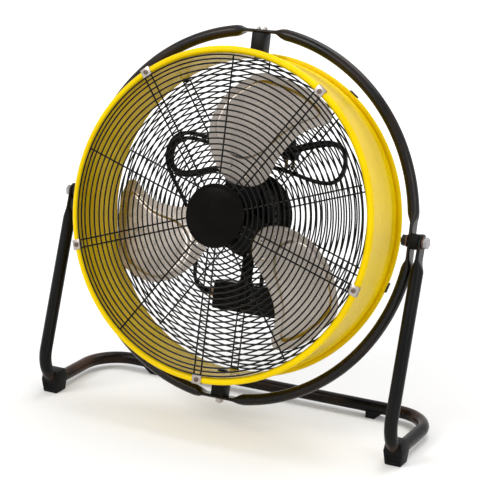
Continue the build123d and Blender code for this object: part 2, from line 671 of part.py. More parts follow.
def drum_shell():
    """Sheet rolled into a drum, both edges rolled outwards over a wire."""
    shell = taper(DRUM_OUTSIDE, DRUM_OUTSIDE, REAR_BEAD_Z, FRONT_BEAD_Z, DRUM_SIDES)
    shell += drum_bead(FRONT_BEAD_Z, FRONT_BEAD)
    shell += drum_bead(REAR_BEAD_Z, REAR_BEAD)
    shell -= taper(BORE_RADIUS, BORE_RADIUS, -DRUM_REAR - 1, DRUM_FRONT + 1, DRUM_SIDES)
    reach = 4 * DRUM_WALL
    shell -= top_and_bottom(pin(DRUM_BOLT / 2 + HOLE_PLAY, BORE_RADIUS - reach, BORE_RADIUS + reach))
    for cut in clip_screw_holes():
        shell -= cut
    return shell


def clip_places():
    return [CLIP_ANGLE + i * 360 / SPOKES for i in range(SPOKES)]


def clip_screw_holes():
    cuts = []
    pilot = CLIP_SCREW / 2
    for angle in clip_places():
        front = pin(pilot, DRUM_FRONT - CLIP_SCREW_DEPTH, DRUM_FRONT + 1)
        rear = pin(pilot, -DRUM_REAR - 1, -DRUM_REAR + CLIP_SCREW_DEPTH)
        cuts.append(clockwise(angle) * Pos(0, FRONT_BEAD_RADIUS, 0) * front)
        cuts.append(clockwise(angle) * Pos(0, REAR_BEAD_RADIUS, 0) * rear)
    return cuts


# ---- guards ----------------------------------------------------------------------------------
# Each guard is drawn for the front, its rings' outer face outwards; the rear one is the same
# thing turned over. "face" is the height of the bead that the clips lie on.
WIRE_SECTION = make_face(Polyline((-WIRE / 2, 0), (WIRE / 2, 0), (0, -WIRE), close=True))
RING_LOW = OUTER_RING * cos(pi / RING_SIDES) - WIRE    # inner side of the outermost ring's flats


def guard_rings(face, inner_radii):
    """Rings of wire, drawn three-sided, their flat side on the spokes."""
    low = face + CLIP_SHEET
    radii = inner_radii + [RING_FIRST + RING_PITCH * i for i in range(RING_COUNT)]
    radii += [radii[-1] + RING_STEP * (i + 1) for i in range(RING_STEPS)]
    rings = []
    for radius in radii:
        if inner_radii or radius > PLATE_RADIUS + WIRE:
            line = Pos(0, 0, low) * Wire(RegularPolygon(radius, RING_SIDES).edges())
            rings.append(mitred(WIRE_SECTION, line, (1, 0, 0)))
    return group(rings)


def guard_spokes(face, start):
    """Five pairs that end at the clips, and a single spoke halfway between two pairs."""
    high = face + CLIP_SHEET
    spokes = []
    for i in range(SPOKES):
        single = block(-WIRE / 2, WIRE / 2, start, GUARD_END, high - WIRE, high)
        spokes.append(clockwise(i * 360 / SPOKES) * single)
        for side in (-1, 1):
            middle = side * PAIR_SPACING / 2
            wire = block(middle - WIRE / 2, middle + WIRE / 2, start, GUARD_END, high - WIRE, high)
            spokes.append(clockwise(CLIP_ANGLE + i * 360 / SPOKES) * wire)
    return group(spokes)


def guard_clips(face, bead_radius, bead):
    """A plate over the bead, folded over its outer side, with a tongue behind the outermost ring."""
    edge = bead_radius + bead / 2
    half = CLIP_WIDTH / 2
    tongue = CLIP_TONGUE / 2
    low = GUARD_END + 0.2
    plate = block(-half, half, low, edge + CLIP_SHEET, face, face + CLIP_SHEET)
    plate += block(-half, half, edge, edge + CLIP_SHEET, face - CLIP_LIP, face + CLIP_SHEET)
    plate += block(-tongue, tongue, RING_LOW, low, face, face + CLIP_SHEET)
    hole = pin(CLIP_SCREW / 2 + HOLE_PLAY, face - 2 * CLIP_SHEET, face + 2 * CLIP_SHEET)
    plate -= Pos(0, bead_radius, 0) * hole
    return group([clockwise(angle) * plate for angle in clip_places()])


def clip_screws(face, bead_radius):
    """Pan heads on the clips; the shanks bite into the bead."""
    seat = face + CLIP_SHEET
    pan = head(CLIP_SCREW_HEAD / 2, seat, seat + CLIP_SCREW_RISE)
    shank = pin(CLIP_SCREW / 2, face - CLIP_SCREW_DEPTH + 0.5, seat)
    screw = Pos(0, bead_radius, 0) * (pan + shank)
    return group([clockwise(angle) * screw for angle in clip_places()])


def turned_over(shape):
    """A front guard's piece as a rear one: its mirror image through the drum's middle plane."""
    return mirror(shape, about=Plane.XY)


def front_cap():
    """A thin domed cap on the spokes' inner ends."""
    foot = DRUM_FRONT + CLIP_SHEET
    rim = foot + CAP_RIM
    shoulder = rim + CAP_DOME * (1 - (CAP_SHOULDER / CAP_RADIUS) ** 2)
    crown = rim + CAP_DOME
    inside = CAP_RADIUS - CAP_SHEET
    cap = taper(CAP_RADIUS, CAP_RADIUS, foot, rim, CAP_SIDES)
    cap += taper(CAP_RADIUS, CAP_SHOULDER, rim, shoulder, CAP_SIDES)
    cap += taper(CAP_SHOULDER, CAP_CROWN, shoulder, crown, CAP_SIDES)
    cap -= taper(inside, inside, foot - 1, rim - CAP_SHEET, CAP_SIDES)
    return cap - taper(inside, CAP_CROWN, rim - CAP_SHEET, crown - CAP_SHEET, CAP_SIDES)


# ---- motor -----------------------------------------------------------------------------------
BOLT_ANGLES = (45, 135, 225, 315)
COVER_REAR = MOTOR_FRONT - COVER_THICKNESS
REAR_BEARING = MOTOR_REAR + MOTOR_REAR_WALL
FRONT_BEARING = COVER_REAR - BEARING_WIDTH
STACK_MIDDLE = (REAR_BEARING + COVER_REAR) / 2
STACK_LOW = STACK_MIDDLE - STACK_LENGTH / 2
STACK_HIGH = STACK_MIDDLE + STACK_LENGTH / 2


def around(shape, radius, angles):
    return [clockwise(angle) * Pos(0, radius, 0) * shape for angle in angles]


def motor_plate():
    """The disc across the middle of the rear guard, welded to the spokes' inner ends."""
    plate = drum(PLATE_RADIUS, STRAP_FACE, MOTOR_REAR)
    hole = pin(MOTOR_BOLT / 2 + HOLE_PLAY, STRAP_FACE - 1, MOTOR_REAR + 1)
    for cut in around(hole, MOTOR_BOLT_CIRCLE / 2, BOLT_ANGLES):
        plate -= cut
    strap_hole = pin(STRAP_SCREW / 2 + HOLE_PLAY, STRAP_FACE - 1, MOTOR_REAR + 1)
    for drop in strap_screw_drops():
        plate -= Pos(0, -drop, 0) * strap_hole
    lead_hole = pin(clears(MOTOR_LEAD / 2, CORD_SIDES), STRAP_FACE - 1, MOTOR_REAR + 1)
    return plate - Pos(MOTOR_LEAD_X, -MOTOR_LEAD_START, 0) * lead_hole


def strap_screw_drops():
    """The strap's two screws: one into the motor's rear wall, one between a pair of spokes."""
    return (STRAP_TOP + STRAP_INSET, (MOTOR_RADIUS + PLATE_RADIUS) / 2)


def motor_housing():
    """A cup with a bearing seat in its floor and cooling slots round its side."""
    cup = drum(MOTOR_RADIUS, MOTOR_REAR, COVER_REAR)
    cup -= drum(MOTOR_RADIUS - MOTOR_WALL, REAR_BEARING, COVER_REAR + 1)
    seat = BEARING_OUTSIDE / 2
    boss = drum(seat + BEARING_SEAT_WALL, REAR_BEARING, REAR_BEARING + BEARING_WIDTH)
    cup += boss - drum(seat, REAR_BEARING, REAR_BEARING + 2 * BEARING_WIDTH)
    thread = pin(MOTOR_BOLT / 2, MOTOR_REAR - 1, REAR_BEARING + 1)
    for cut in around(thread, MOTOR_BOLT_CIRCLE / 2, BOLT_ANGLES):
        cup -= cut
    strap_thread = pin(STRAP_SCREW / 2, MOTOR_REAR - 1, REAR_BEARING + 1)
    cup -= Pos(0, -strap_screw_drops()[0], 0) * strap_thread
    half = VENT_WIDTH / 2
    slot = block(
        -half, half, MOTOR_RADIUS - 2 * MOTOR_WALL, MOTOR_RADIUS + 1, STACK_HIGH + 1, COVER_REAR - MOTOR_WALL
    )
    for i in range(VENTS):
        cup -= clockwise(i * 360 / VENTS) * slot
    return cup


def motor_front_cover():
    """The front end shield, which holds the front bearing."""
    seat = BEARING_OUTSIDE / 2
    cover = drum(MOTOR_RADIUS, COVER_REAR, MOTOR_FRONT)
    cover = chamfer(cover.edges().group_by(Axis.Z)[-1], COVER_THICKNESS * 0.4)
    boss = drum(seat + BEARING_SEAT_WALL, FRONT_BEARING, COVER_REAR)
    cover += boss - drum(seat, FRONT_BEARING - BEARING_WIDTH, COVER_REAR)
    return cover - drum(SHAFT / 2 + 1.0, COVER_REAR - 1, MOTOR_FRONT + 1)


def bearings():
    """Two ball bearings, drawn as closed rings."""
    races = []
    for low in (REAR_BEARING, FRONT_BEARING):
        race = drum(BEARING_OUTSIDE / 2, low, low + BEARING_WIDTH)
        races.append(race - disc(SHAFT / 2 + BEARING_PLAY, low - 1, low + BEARING_WIDTH + 1))
    return group(races)


def stator_core():
    outside = MOTOR_RADIUS - MOTOR_WALL
    return ring(outside, ROTOR_RADIUS + AIR_GAP, STACK_LOW, STACK_HIGH)


def stator_windings():
    """The coil ends that stand out of both faces of the stack."""
    inside = ROTOR_RADIUS + AIR_GAP + 2
    outside = inside + WINDING_WIDTH
    low = ring(outside, inside, STACK_LOW - WINDING_HEIGHT, STACK_LOW)
    high = ring(outside, inside, STACK_HIGH, STACK_HIGH + WINDING_HEIGHT)
    return group([low, high])


def rotor():
    return ring(ROTOR_RADIUS, SHAFT / 2, STACK_LOW, STACK_HIGH)


def shaft_sleeves():
    """Sleeves that keep the rotor between the bearings and the hub off the front bearing."""
    outside = SHAFT / 2 + SLEEVE_WALL
    start = REAR_BEARING + BEARING_WIDTH + SEAT
    rear = ring(outside, SHAFT / 2, start, STACK_LOW, WASHER_SIDES)
    front = ring(outside, SHAFT / 2, STACK_HIGH, FRONT_BEARING - SEAT, WASHER_SIDES)
    return group([rear, front])


def motor_shaft():
    """Ground shaft with a shoulder for the hub and a threaded end for its nut."""
    nose = HUB_FRONT - 2.0
    end = HUB_FRONT + PIVOT_WASHER_THICKNESS + HUB_NUT_HEIGHT + BOLT_PROTRUSION
    return disc(SHAFT / 2, REAR_BEARING + SEAT, nose) + disc(HUB_THREAD / 2, nose, end)


def motor_bolts():
    seat = STRAP_FACE
    bolt = pin(MOTOR_BOLT / 2, seat, REAR_BEARING - 0.5)
    bolt += hexagon(MOTOR_BOLT_HEX, seat - MOTOR_BOLT * SCREW_HEAD_HEIGHT, seat)
    return group(around(bolt, MOTOR_BOLT_CIRCLE / 2, BOLT_ANGLES))


# ---- impeller --------------------------------------------------------------------------------
def cambered_band(depth, thickness):
    """Section across a blade: a strip bowed to the rear, drawn as flats, whose front face lies
    "depth" behind the blade's middle surface. It is wider than any blade."""
    turns = [radians(CAMBER_STEP * (i + 0.5)) for i in range(-4, 4)]
    inner = CAMBER_RADIUS + depth
    outer = inner + thickness
    points = [(inner * sin(a), -inner * cos(a)) for a in turns]
    points += [(outer * sin(a), -outer * cos(a)) for a in reversed(turns)]
    return Pos(0, CAMBER_RADIUS - BLADE_CAMBER) * section(points)


def on_blade():
    """From the middle of a blade's chord, on the first blade's radial line, to the head frame."""
    return Pos(0, 0, BLADE_ADVANCE) * Rot(Y=BLADE_PITCH) * Pos(BLADE_MIDDLE, 0, 0)


def pressed(outline, depth, thickness):
    """A sheet with this outline, seen from the front, pressed to the blade's curve."""
    stock = on_blade() * extrude(Plane.XZ * cambered_band(depth, thickness), -BLADE_TIP - TIP_GAP)
    reach = BLADE_CHORD / 2
    return stock & extrude(Pos(0, 0, -reach) * outline, 2 * reach)


def to_scale(points):
    return [(x * BLADE_SCALE, y * BLADE_SCALE) for x, y in points]


def blade_outline():
    """The blade's outline seen from the front: round root, swept front edge, wide rounded tip."""
    left_edge = Spline(*to_scale([(-22, 59), (-50, 100), (-57, 140), (-42, 194), (-14, 225)]))
    start, middle, end = [
        (BLADE_TIP * sin(a), BLADE_TIP * cos(a)) for a in (asin(14 / DRAWN_TIP), radians(16), asin(112 / DRAWN_TIP))
    ]
    shoulder = Spline(left_edge @ 1, start, tangents=[left_edge % 1, (0.98, -0.06)])
    tip = ThreePointArc(start, middle, end)
    corner = Spline(end, *to_scale([(143, 184), (138, 171)]), tangents=[tip % 1, (-0.95, -0.3)])
    right_edge = Spline(*to_scale([(138, 171), (90, 147), (61, 108), (45, 68)]), tangents=[(-0.95, -0.3), (-0.5, -0.85)])
    root = ThreePointArc(*to_scale([(45, 68), (12, 51), (-22, 59)]))
    points = []
    for edge, chords in ((left_edge, 5), (shoulder, 2), (tip, 4), (corner, 4), (right_edge, 5), (root, 3)):
        points += [edge @ (i / chords) for i in range(chords)]
    return section(points)


RIVETS = to_scale([(6, 66), (-17, 84), (29, 81)])


def spider_outline():
    """One arm seen from the front: it widens from the hub to the rivets and ends round."""
    arm = [(-14, 12), (26, 12), (36, 58), (40, 82), (20, 96), (-10, 98), (-28, 86), (-24, 58)]
    return section(to_scale(arm))


def rivet_frames():
    """Where the rivets go through a blade, square to the flat that each is on."""
    frames = []
    for x, y in RIVETS:
        s = x / cos(radians(BLADE_PITCH)) - BLADE_MIDDLE
        lean = CAMBER_STEP * round(degrees(asin(s / CAMBER_RADIUS)) / CAMBER_STEP)
        flat = CAMBER_RADIUS * cos(radians(CAMBER_STEP / 2))
        bow = CAMBER_RADIUS - BLADE_CAMBER - (flat - s * sin(radians(lean))) / cos(radians(lean))
        frames.append(on_blade() * Pos(s, y, bow) * Rot(Y=-lean))
    return frames


def rivet_holes():
    reach = 3 * ARM_SHEET
    return [frame * pin(RIVET / 2, -reach, reach) for frame in rivet_frames()]


def blade(turn):
    piece = pressed(blade_outline(), -BLADE_SHEET / 2, BLADE_SHEET)
    for cut in rivet_holes():
        piece -= cut
    return clockwise(turn) * piece


def impeller_spider():
    """Hub boss and three arms, each arm pressed to the curve of the blade it carries."""
    arm = pressed(spider_outline(), BLADE_SHEET / 2, ARM_SHEET)
    for cut in rivet_holes():
        arm -= cut
    spider = drum(HUB_RADIUS, HUB_REAR, HUB_FRONT)
    spider = chamfer(spider.edges().group_by(Axis.Z)[-1], 2.0)
    for i in range(BLADES):
        spider += clockwise(i * 360 / BLADES) * arm
    spider -= head(clears(SHAFT / 2, HEAD_SIDES), HUB_REAR - 1, HUB_FRONT - 2.0)
    return spider - head(clears(HUB_THREAD / 2, HEAD_SIDES), 0, HUB_FRONT + 1)


def blade_rivets():
    """Rivets square to the sheet, their heads in front of the blade and closed flush behind the arm."""
    front = BLADE_SHEET / 2
    rear = -BLADE_SHEET / 2 - ARM_SHEET
    body = pin(RIVET / 2, rear, front)
    body += head(RIVET_HEAD / 2, front, front + RIVET_RISE)
    pieces = [frame * body for frame in rivet_frames()]
    rivets = []
    for i in range(BLADES):
        rivets += [clockwise(i * 360 / BLADES) * piece for piece in pieces]
    return group(rivets)


def hub_nut():
    seat = HUB_FRONT + PIVOT_WASHER_THICKNESS
    nut = drum(HUB_WASHER / 2, HUB_FRONT, seat)
    nut += hexagon(HUB_NUT_HEX, seat, seat + HUB_NUT_HEIGHT)
    thread = clears(HUB_THREAD / 2, HEAD_SIDES)
    return nut - head(thread, HUB_FRONT - 1, seat + 2 * HUB_NUT_HEIGHT)


# ---- switch box ------------------------------------------------------------------------------
BOX_TOP = -BOX_DROP + BOX_HEIGHT / 2
BOX_BOTTOM = -BOX_DROP - BOX_HEIGHT / 2
LID_SCREW_X = BOX_WIDTH / 2 - LID_SCREW_INSET
LID_SCREW_Y = BOX_HEIGHT / 2 - LID_SCREW_INSET
STRAP_SCREW_X = STRAP_FOOT_WIDTH / 2 - STRAP_INSET


def box_strap():
    """Flat strap from the motor plate to the switch box, flared where it meets the box."""
    half = STRAP_WIDTH / 2
    foot = STRAP_FOOT_WIDTH / 2
    low = -BOX_DROP - STRAP_OVERLAP
    narrow = BOX_TOP + STRAP_FLARE / 2
    wide = BOX_TOP - STRAP_FLARE / 2
    outline = Polyline(
        (-half, -STRAP_TOP), (half, -STRAP_TOP), (half, narrow), (foot, wide),
        (foot, low), (-foot, low), (-foot, wide), (-half, narrow), close=True,
    )
    strap = Pos(0, 0, BOX_FACE) * extrude(make_face(outline), STRAP_SHEET)
    hole = pin(STRAP_SCREW / 2 + HOLE_PLAY, BOX_FACE - 1, STRAP_FACE + 1)
    for drop in strap_screw_drops():
        strap -= Pos(0, -drop, 0) * hole
    for side in (-1, 1):
        strap -= Pos(side * STRAP_SCREW_X, -BOX_DROP, 0) * hole
    return strap


def strap_screws():
    """Two screws hold the strap to the motor plate, two hold the box to the strap."""
    rise = STRAP_SCREW * SCREW_HEAD_HEIGHT
    long_screw = pin(STRAP_SCREW / 2, BOX_FACE, REAR_BEARING - 0.5)
    long_screw += hexagon(STRAP_SCREW_HEX, BOX_FACE - rise, BOX_FACE)
    short_screw = pin(STRAP_SCREW / 2, BOX_FACE, MOTOR_REAR + 0.2)
    short_screw += hexagon(STRAP_SCREW_HEX, BOX_FACE - rise, BOX_FACE)
    box_screw = pin(STRAP_SCREW / 2, BOX_FACE - BOX_WALL, STRAP_FACE)
    box_screw += head(STRAP_SCREW * 0.85, BOX_FACE - BOX_WALL - rise, BOX_FACE - BOX_WALL)
    first, second = strap_screw_drops()
    pieces = [Pos(0, -first, 0) * long_screw, Pos(0, -second, 0) * short_screw]
    for side in (-1, 1):
        pieces.append(Pos(side * STRAP_SCREW_X, -BOX_DROP, 0) * box_screw)
    return group(pieces)


def switch_box():
    """A folded box, open to the rear, with holes for the gland, the motor lead and its screws."""
    half = BOX_WIDTH / 2
    box = block(-half, half, BOX_BOTTOM, BOX_TOP, BOX_REAR, BOX_FACE)
    box = chamfer(box.edges().filter_by(Axis.Z), BOX_CORNER * 0.6)
    box -= block(
        -half + BOX_WALL, half - BOX_WALL, BOX_BOTTOM + BOX_WALL, BOX_TOP - BOX_WALL,
        BOX_REAR - 1, BOX_FACE - BOX_WALL,
    )
    reach = 2 * BOX_WALL
    gland_hole = along_x(pin(GLAND_SHANK / 2 + HOLE_PLAY, -half - reach, -half + reach))
    box -= Pos(0, -BOX_DROP, BOX_MIDDLE) * gland_hole
    lead_hole = along_y(pin(clears(MOTOR_LEAD / 2, CORD_SIDES), BOX_TOP - reach, BOX_TOP + reach))
    box -= Pos(MOTOR_LEAD_X, 0, STRAP_FACE - MOTOR_LEAD_BEND) * lead_hole
    hole = pin(STRAP_SCREW / 2 + HOLE_PLAY, BOX_FACE - reach, BOX_FACE + reach)
    for side in (-1, 1):
        box -= Pos(side * STRAP_SCREW_X, -BOX_DROP, 0) * hole
    return box


def switch_box_lid():
    """The rear cover: a plate with a shallow rim that slips into the box."""
    half = BOX_WIDTH / 2
    lid = block(-half, half, BOX_BOTTOM, BOX_TOP, BOX_REAR - BOX_WALL, BOX_REAR)
    lid = chamfer(lid.edges().filter_by(Axis.Z), BOX_CORNER * 0.6)
    fit = BOX_WALL + 0.2
    rim = block(-half + fit, half - fit, BOX_BOTTOM + fit, BOX_TOP - fit, BOX_REAR, BOX_REAR + LID_LIP)
    rim -= block(
        -half + fit + BOX_WALL, half - fit - BOX_WALL, BOX_BOTTOM + fit + BOX_WALL,
        BOX_TOP - fit - BOX_WALL, BOX_REAR - 1, BOX_REAR + LID_LIP + 1,
    )
    lid += rim
    bush_hole = head(SWITCH_BUSH / 2 + HOLE_PLAY, BOX_REAR - 2 * BOX_WALL, BOX_REAR + LID_LIP)
    lid -= Pos(SWITCH_X, -BOX_DROP, 0) * bush_hole
    hole = pin(LID_SCREW / 2 + HOLE_PLAY, BOX_REAR - 2 * BOX_WALL, BOX_REAR + LID_LIP + 1)
    for x, y in lid_screw_places():
        lid -= Pos(x, y, 0) * hole
    return lid


def lid_screw_places():
    return [(sx * LID_SCREW_X, -BOX_DROP + sy * LID_SCREW_Y) for sx in (-1, 1) for sy in (-1, 1)]


def lid_screws():
    rear = BOX_REAR - BOX_WALL
    screw = head(LID_SCREW_HEAD / 2, rear - LID_SCREW * SCREW_HEAD_HEIGHT, rear)
    screw += pin(LID_SCREW / 2, rear, rear + LID_SCREW_LENGTH)
    return group([Pos(x, y, 0) * screw for x, y in lid_screw_places()])


def capacitor():
    """The motor's running capacitor, against the box's front wall."""
    length, height, depth = CAPACITOR
    body = block(-length / 2, length / 2, -height / 2, height / 2, -depth, 0)
    body = chamfer(body.edges().filter_by(Axis.X), height * 0.12)
    return Pos(CAPACITOR_X, BOX_BOTTOM + BOX_WALL + height / 2, BOX_FACE - BOX_WALL) * body


def rotary_switch():
    """The speed switch behind the lid: body, threaded bush through the lid, and its nut."""
    half = SWITCH_BODY / 2
    body = block(-half, half, -half, half, 0, SWITCH_BODY_DEPTH)
    body += head(SWITCH_BUSH / 2, -BOX_WALL - 2.5, 0)
    body -= disc(SWITCH_SPINDLE / 2 + 0.05, -BOX_WALL - 3.0, SWITCH_BODY_DEPTH - 2.0)
    return Pos(SWITCH_X, -BOX_DROP, BOX_REAR) * body


def speed_knob():
    """A pointer knob on the switch's spindle."""
    rear = -BOX_WALL - KNOB_GAP
    hollow = rear - 2.5
    skirt = drum(KNOB_RADIUS, rear - 4.0, rear)
    grip = drum(KNOB_RADIUS * 0.62, rear - KNOB_HEIGHT, rear - 4.0)
    pointer = block(-3.0, 3.0, 0, KNOB_RADIUS * 0.95, rear - KNOB_HEIGHT, rear - 4.0)
    knob = skirt + grip + pointer
    knob -= drum(SWITCH_BUSH / 2 + KNOB_SHANK_PLAY, hollow, rear + 1)
    knob += disc(SWITCH_SPINDLE / 2, hollow, SWITCH_BODY_DEPTH - 3.0)
    return Pos(SWITCH_X, -BOX_DROP, BOX_REAR) * knob


def cable_gland():
    """A brass gland in the box's left wall: hexagon, domed cap nut and a shank with a lock nut."""
    wall = BOX_WIDTH / 2
    hexed = hexagon(GLAND_HEX, wall, wall + 5.0)
    cap = head(GLAND_HEX * 0.45, wall + 5.0, wall + GLAND_LENGTH)
    cap = chamfer(cap.edges().group_by(Axis.Z)[-1], 2.5)
    shank = pin(GLAND_SHANK / 2, wall - BOX_WALL - 6.0, wall)
    lock = hexagon(GLAND_HEX * 0.85, wall - BOX_WALL - 4.0, wall - BOX_WALL)
    width = clears(CORD / 2 + HOLE_PLAY, CORD_SIDES)
    bore = pin(width, wall - 2 * GLAND_LENGTH, wall + 2 * GLAND_LENGTH)
    gland = hexed + cap + shank + lock - bore
    return Pos(0, -BOX_DROP, BOX_MIDDLE) * Rot(Y=-90) * gland


def motor_lead():
    """The short lead from the motor plate's grommet down into the switch box."""
    start = (MOTOR_LEAD_X, -MOTOR_LEAD_START, STRAP_FACE + 2.0)
    corner = (MOTOR_LEAD_X, -MOTOR_LEAD_START, STRAP_FACE - MOTOR_LEAD_BEND)
    end = (MOTOR_LEAD_X, BOX_TOP - BOX_WALL - 4.0, STRAP_FACE - MOTOR_LEAD_BEND)
    path = bent_line([start, corner, end], [MOTOR_LEAD_BEND - 1.0])
    return mitred(RegularPolygon(MOTOR_LEAD / 2, CORD_SIDES), path, (1, 0, 0))


# ---- cord ------------------------------------------------------------------------------------
def hank_base(angle):
    """The hank's outer line without its turns: two loops drawn in at the waist."""
    a = -radians(angle)
    swell = HANK_WAIST + HANK_SWELL * (HANK_HALF_HEIGHT - HANK_WAIST) * cos(a) ** 2
    x = HANK_HALF_LENGTH * cos(a)
    return HANK_X + x, HANK_Y + HANK_SLANT * x + swell * sin(a)


def hank_point(angle):
    """A point of the cord in the hank: in by one turn's pitch a turn to the middle of its length,
    a layer rearwards there, and out again."""
    step = 0.5
    x0, y0 = hank_base(angle - step)
    x1, y1 = hank_base(angle + step)
    x, y = hank_base(angle)
    run = hypot(x1 - x0, y1 - y0)
    inward = ((y1 - y0) / run, -(x1 - x0) / run)
    middle = (HANK_START + HANK_END) / 2
    turns = (min(angle, 2 * middle - angle) - HANK_START) / 360
    wide = cos(radians(angle)) ** 2
    depth = turns * (HANK_WAIST_PITCH + (HANK_PITCH - HANK_WAIST_PITCH) * wide)
    climb = min(max((angle - middle + HANK_CLIMB) / (2 * HANK_CLIMB), 0), 1)
    rise = HANK_LAYER * (1 - cos(pi * climb)) / 2
    return Vector(x + inward[0] * depth, y + inward[1] * depth, HANK_Z - rise)


def hank_angles():
    """The loops' ends, their widest places and the waist: an arc or two takes each quarter."""
    places = []
    for half in range(0, ceil(HANK_END / 180) + 1):
        places += [180 * half, 180 * half + HANK_QUARTER, 180 * half + 90, 180 * half + 180 - HANK_QUARTER]
    inner = [angle for angle in places if HANK_START + 5 < angle < HANK_END - 5]
    return [HANK_START] + inner + [HANK_END]


def hank_tangent(angle):
    step = 0.5
    low = max(angle - step, HANK_START)
    high = min(angle + step, HANK_END)
    return (hank_point(high) - hank_point(low)).normalized()


def biarc(start, out, end, into):
    """Two arcs that leave "start" along "out" and reach "end" along "into"."""
    chord = end - start
    both = out + into
    b = chord.dot(both)
    a = 2 * (1 - out.dot(into))
    reach = chord.dot(chord) / (2 * b) if a < 1e-9 else (sqrt(b * b + a * chord.dot(chord)) - b) / a
    joint = (start + end + (out - into) * reach) / 2
    turn = (end - into * reach - joint).normalized()
    return [TangentArc(start, joint, tangent=out), TangentArc(joint, end, tangent=turn)]


def curve_radius(edge):
    try:
        return edge.radius
    except ValueError:
        return 1e6


def hank_path():
    angles = hank_angles()
    edges = []
    for low, high in zip(angles, angles[1:]):
        edges += biarc(hank_point(low), hank_tangent(low), hank_point(high), hank_tangent(high))
    end = plug_end()
    crest = end + Vector(-TAIL_BEND, TAIL_BEND, 0)
    edges += biarc(hank_point(HANK_END), hank_tangent(HANK_END), crest, Vector(1, 0, 0))
    edges += [TangentArc(crest, end, tangent=Vector(1, 0, 0))]
    return edges


def plug_end():
    """Where the tail comes down into the plug."""
    return Vector(PLUG_X, PLUG_Y, HANK_Z - HANK_LAYER - TAIL_RISE)


def least_gap(points, diameter):
    """Least distance between parts of one line that are over three diameters apart along it."""
    run = 0.0
    along = [0.0]
    for a, b in zip(points, points[1:]):
        run += (b - a).length
        along.append(run)
    best = 1e9
    for i in range(len(points)):
        for j in range(i + 1, len(points)):
            if along[j] - along[i] > 3 * diameter:
                best = min(best, (points[j] - points[i]).length)
    return best - diameter


def cord_hank():
    path = Wire(hank_path())
    section = Plane(origin=path @ 0, z_dir=path % 0) * RegularPolygon(CORD / 2, CORD_SIDES)
    tube = sweep(section, path=path)
    samples = [path @ (i / 600) for i in range(601)]
    print("hank length", round(path.length, 1), "volume over section", round(tube.volume / section.area, 1))
    print("hank least gap to itself", round(least_gap(samples, CORD), 2))
    print("hank least radius", round(min(curve_radius(edge) for edge in path.edges()), 1))
    return tube


LEAD_EXIT = (-BOX_WIDTH / 2 - GLAND_LENGTH + 6.0, -BOX_DROP, BOX_MIDDLE)
LEAD_POINTS = (
    LEAD_EXIT,
    (-112, -BOX_DROP, BOX_MIDDLE),
    (-100, -84, -66),
    (-138, 6, -60),
)


def cord_lead():
    """From the gland up behind the guard to the hank."""
    first = hank_point(HANK_START)
    heading = hank_tangent(HANK_START)
    before = first - heading * 34.0
    points = [Vector(*p) for p in LEAD_POINTS] + [before, first]
    radii = []
    for a, b, c in zip(points, points[1:], points[2:]):
        turn = radians((b - a).get_angle(c - b))
        radii.append(0.45 * min((b - a).length, (c - b).length) / tan(turn / 2))
    print("lead radii", [round(r, 1) for r in radii])
    path = FilletPolyline(*points, radius=radii)
    print("lead length", round(path.length, 1))
    section = Plane(origin=path @ 0, z_dir=path % 0) * RegularPolygon(CORD / 2, CORD_SIDES)
    tube = sweep(section, path=path)
    print("lead volume over section", round(tube.volume / section.area, 1))
    return tube


def cord_tie():
    """A strap round the waist of the hank."""
    x0 = HANK_X - TIE_WIDTH / 2
    x1 = HANK_X + TIE_WIDTH / 2
    reach = HANK_WAIST + CORD / 2 + TIE_PLAY
    z_front = HANK_Z + CORD / 2 + CORD_CLEARANCE / 2
    z_rear = HANK_Z - HANK_LAYER - CORD / 2 - SEAT
    inner = block(x0 - 1, x1 + 1, HANK_Y - reach, HANK_Y + reach, z_rear, z_front)
    z_face = z_front + min(TIE_THICKNESS, CORD_CLEARANCE / 2)
    outer = block(
        x0, x1, HANK_Y - reach - TIE_THICKNESS, HANK_Y + reach + TIE_THICKNESS,
        z_rear - TIE_THICKNESS, z_face,
    )
    return outer - inner


def at_plug(shape):
    """Stands a piece drawn along +Z, cord side down, on the end of the hank."""
    return Plane(origin=plug_end(), x_dir=(0, 0, 1), z_dir=(0, -1, 0)) * shape


def plug_body():
    """A moulded plug: strain relief, waisted grip and a flat face."""
    thin = RegularPolygon(CORD / 2 + 1.0, CORD_SIDES)
    thick = Pos(0, 0, PLUG_RELIEF) * RegularPolygon(CORD / 2 + 2.5, CORD_SIDES)
    grip = block(-PLUG_DEPTH / 2, PLUG_DEPTH / 2, -PLUG_WIDTH / 2, PLUG_WIDTH / 2, PLUG_RELIEF, PLUG_LENGTH)
    grip = chamfer(grip.edges().filter_by(Axis.Z), 4.0)
    body = loft([thin, thick], ruled=True) + grip
    for side in (-1, 1):
        slot = Pos(0, side * PIN_SPACING / 2, PLUG_LENGTH - 4.0) * Box(PIN_THICKNESS, PIN_WIDTH, 8.0)
        body -= slot
    return at_plug(body)


def plug_pins():
    pins = []
    middle = PLUG_LENGTH - 8.0 + (PIN_LENGTH + 8.0) / 2
    for side in (-1, 1):
        pins.append(Pos(0, side * PIN_SPACING / 2, middle) * Box(PIN_THICKNESS, PIN_WIDTH, PIN_LENGTH + 8.0))
    return at_plug(group(pins))


# ---- the whole fan ---------------------------------------------------------------------------
def front_guard(kind):
    if kind == "rings":
        return guard_rings(DRUM_FRONT, [HUB_RING])
    if kind == "spokes":
        return guard_spokes(DRUM_FRONT, SPOKE_START)
    if kind == "clips":
        return guard_clips(DRUM_FRONT, FRONT_BEAD_RADIUS, FRONT_BEAD)
    return clip_screws(DRUM_FRONT, FRONT_BEAD_RADIUS)


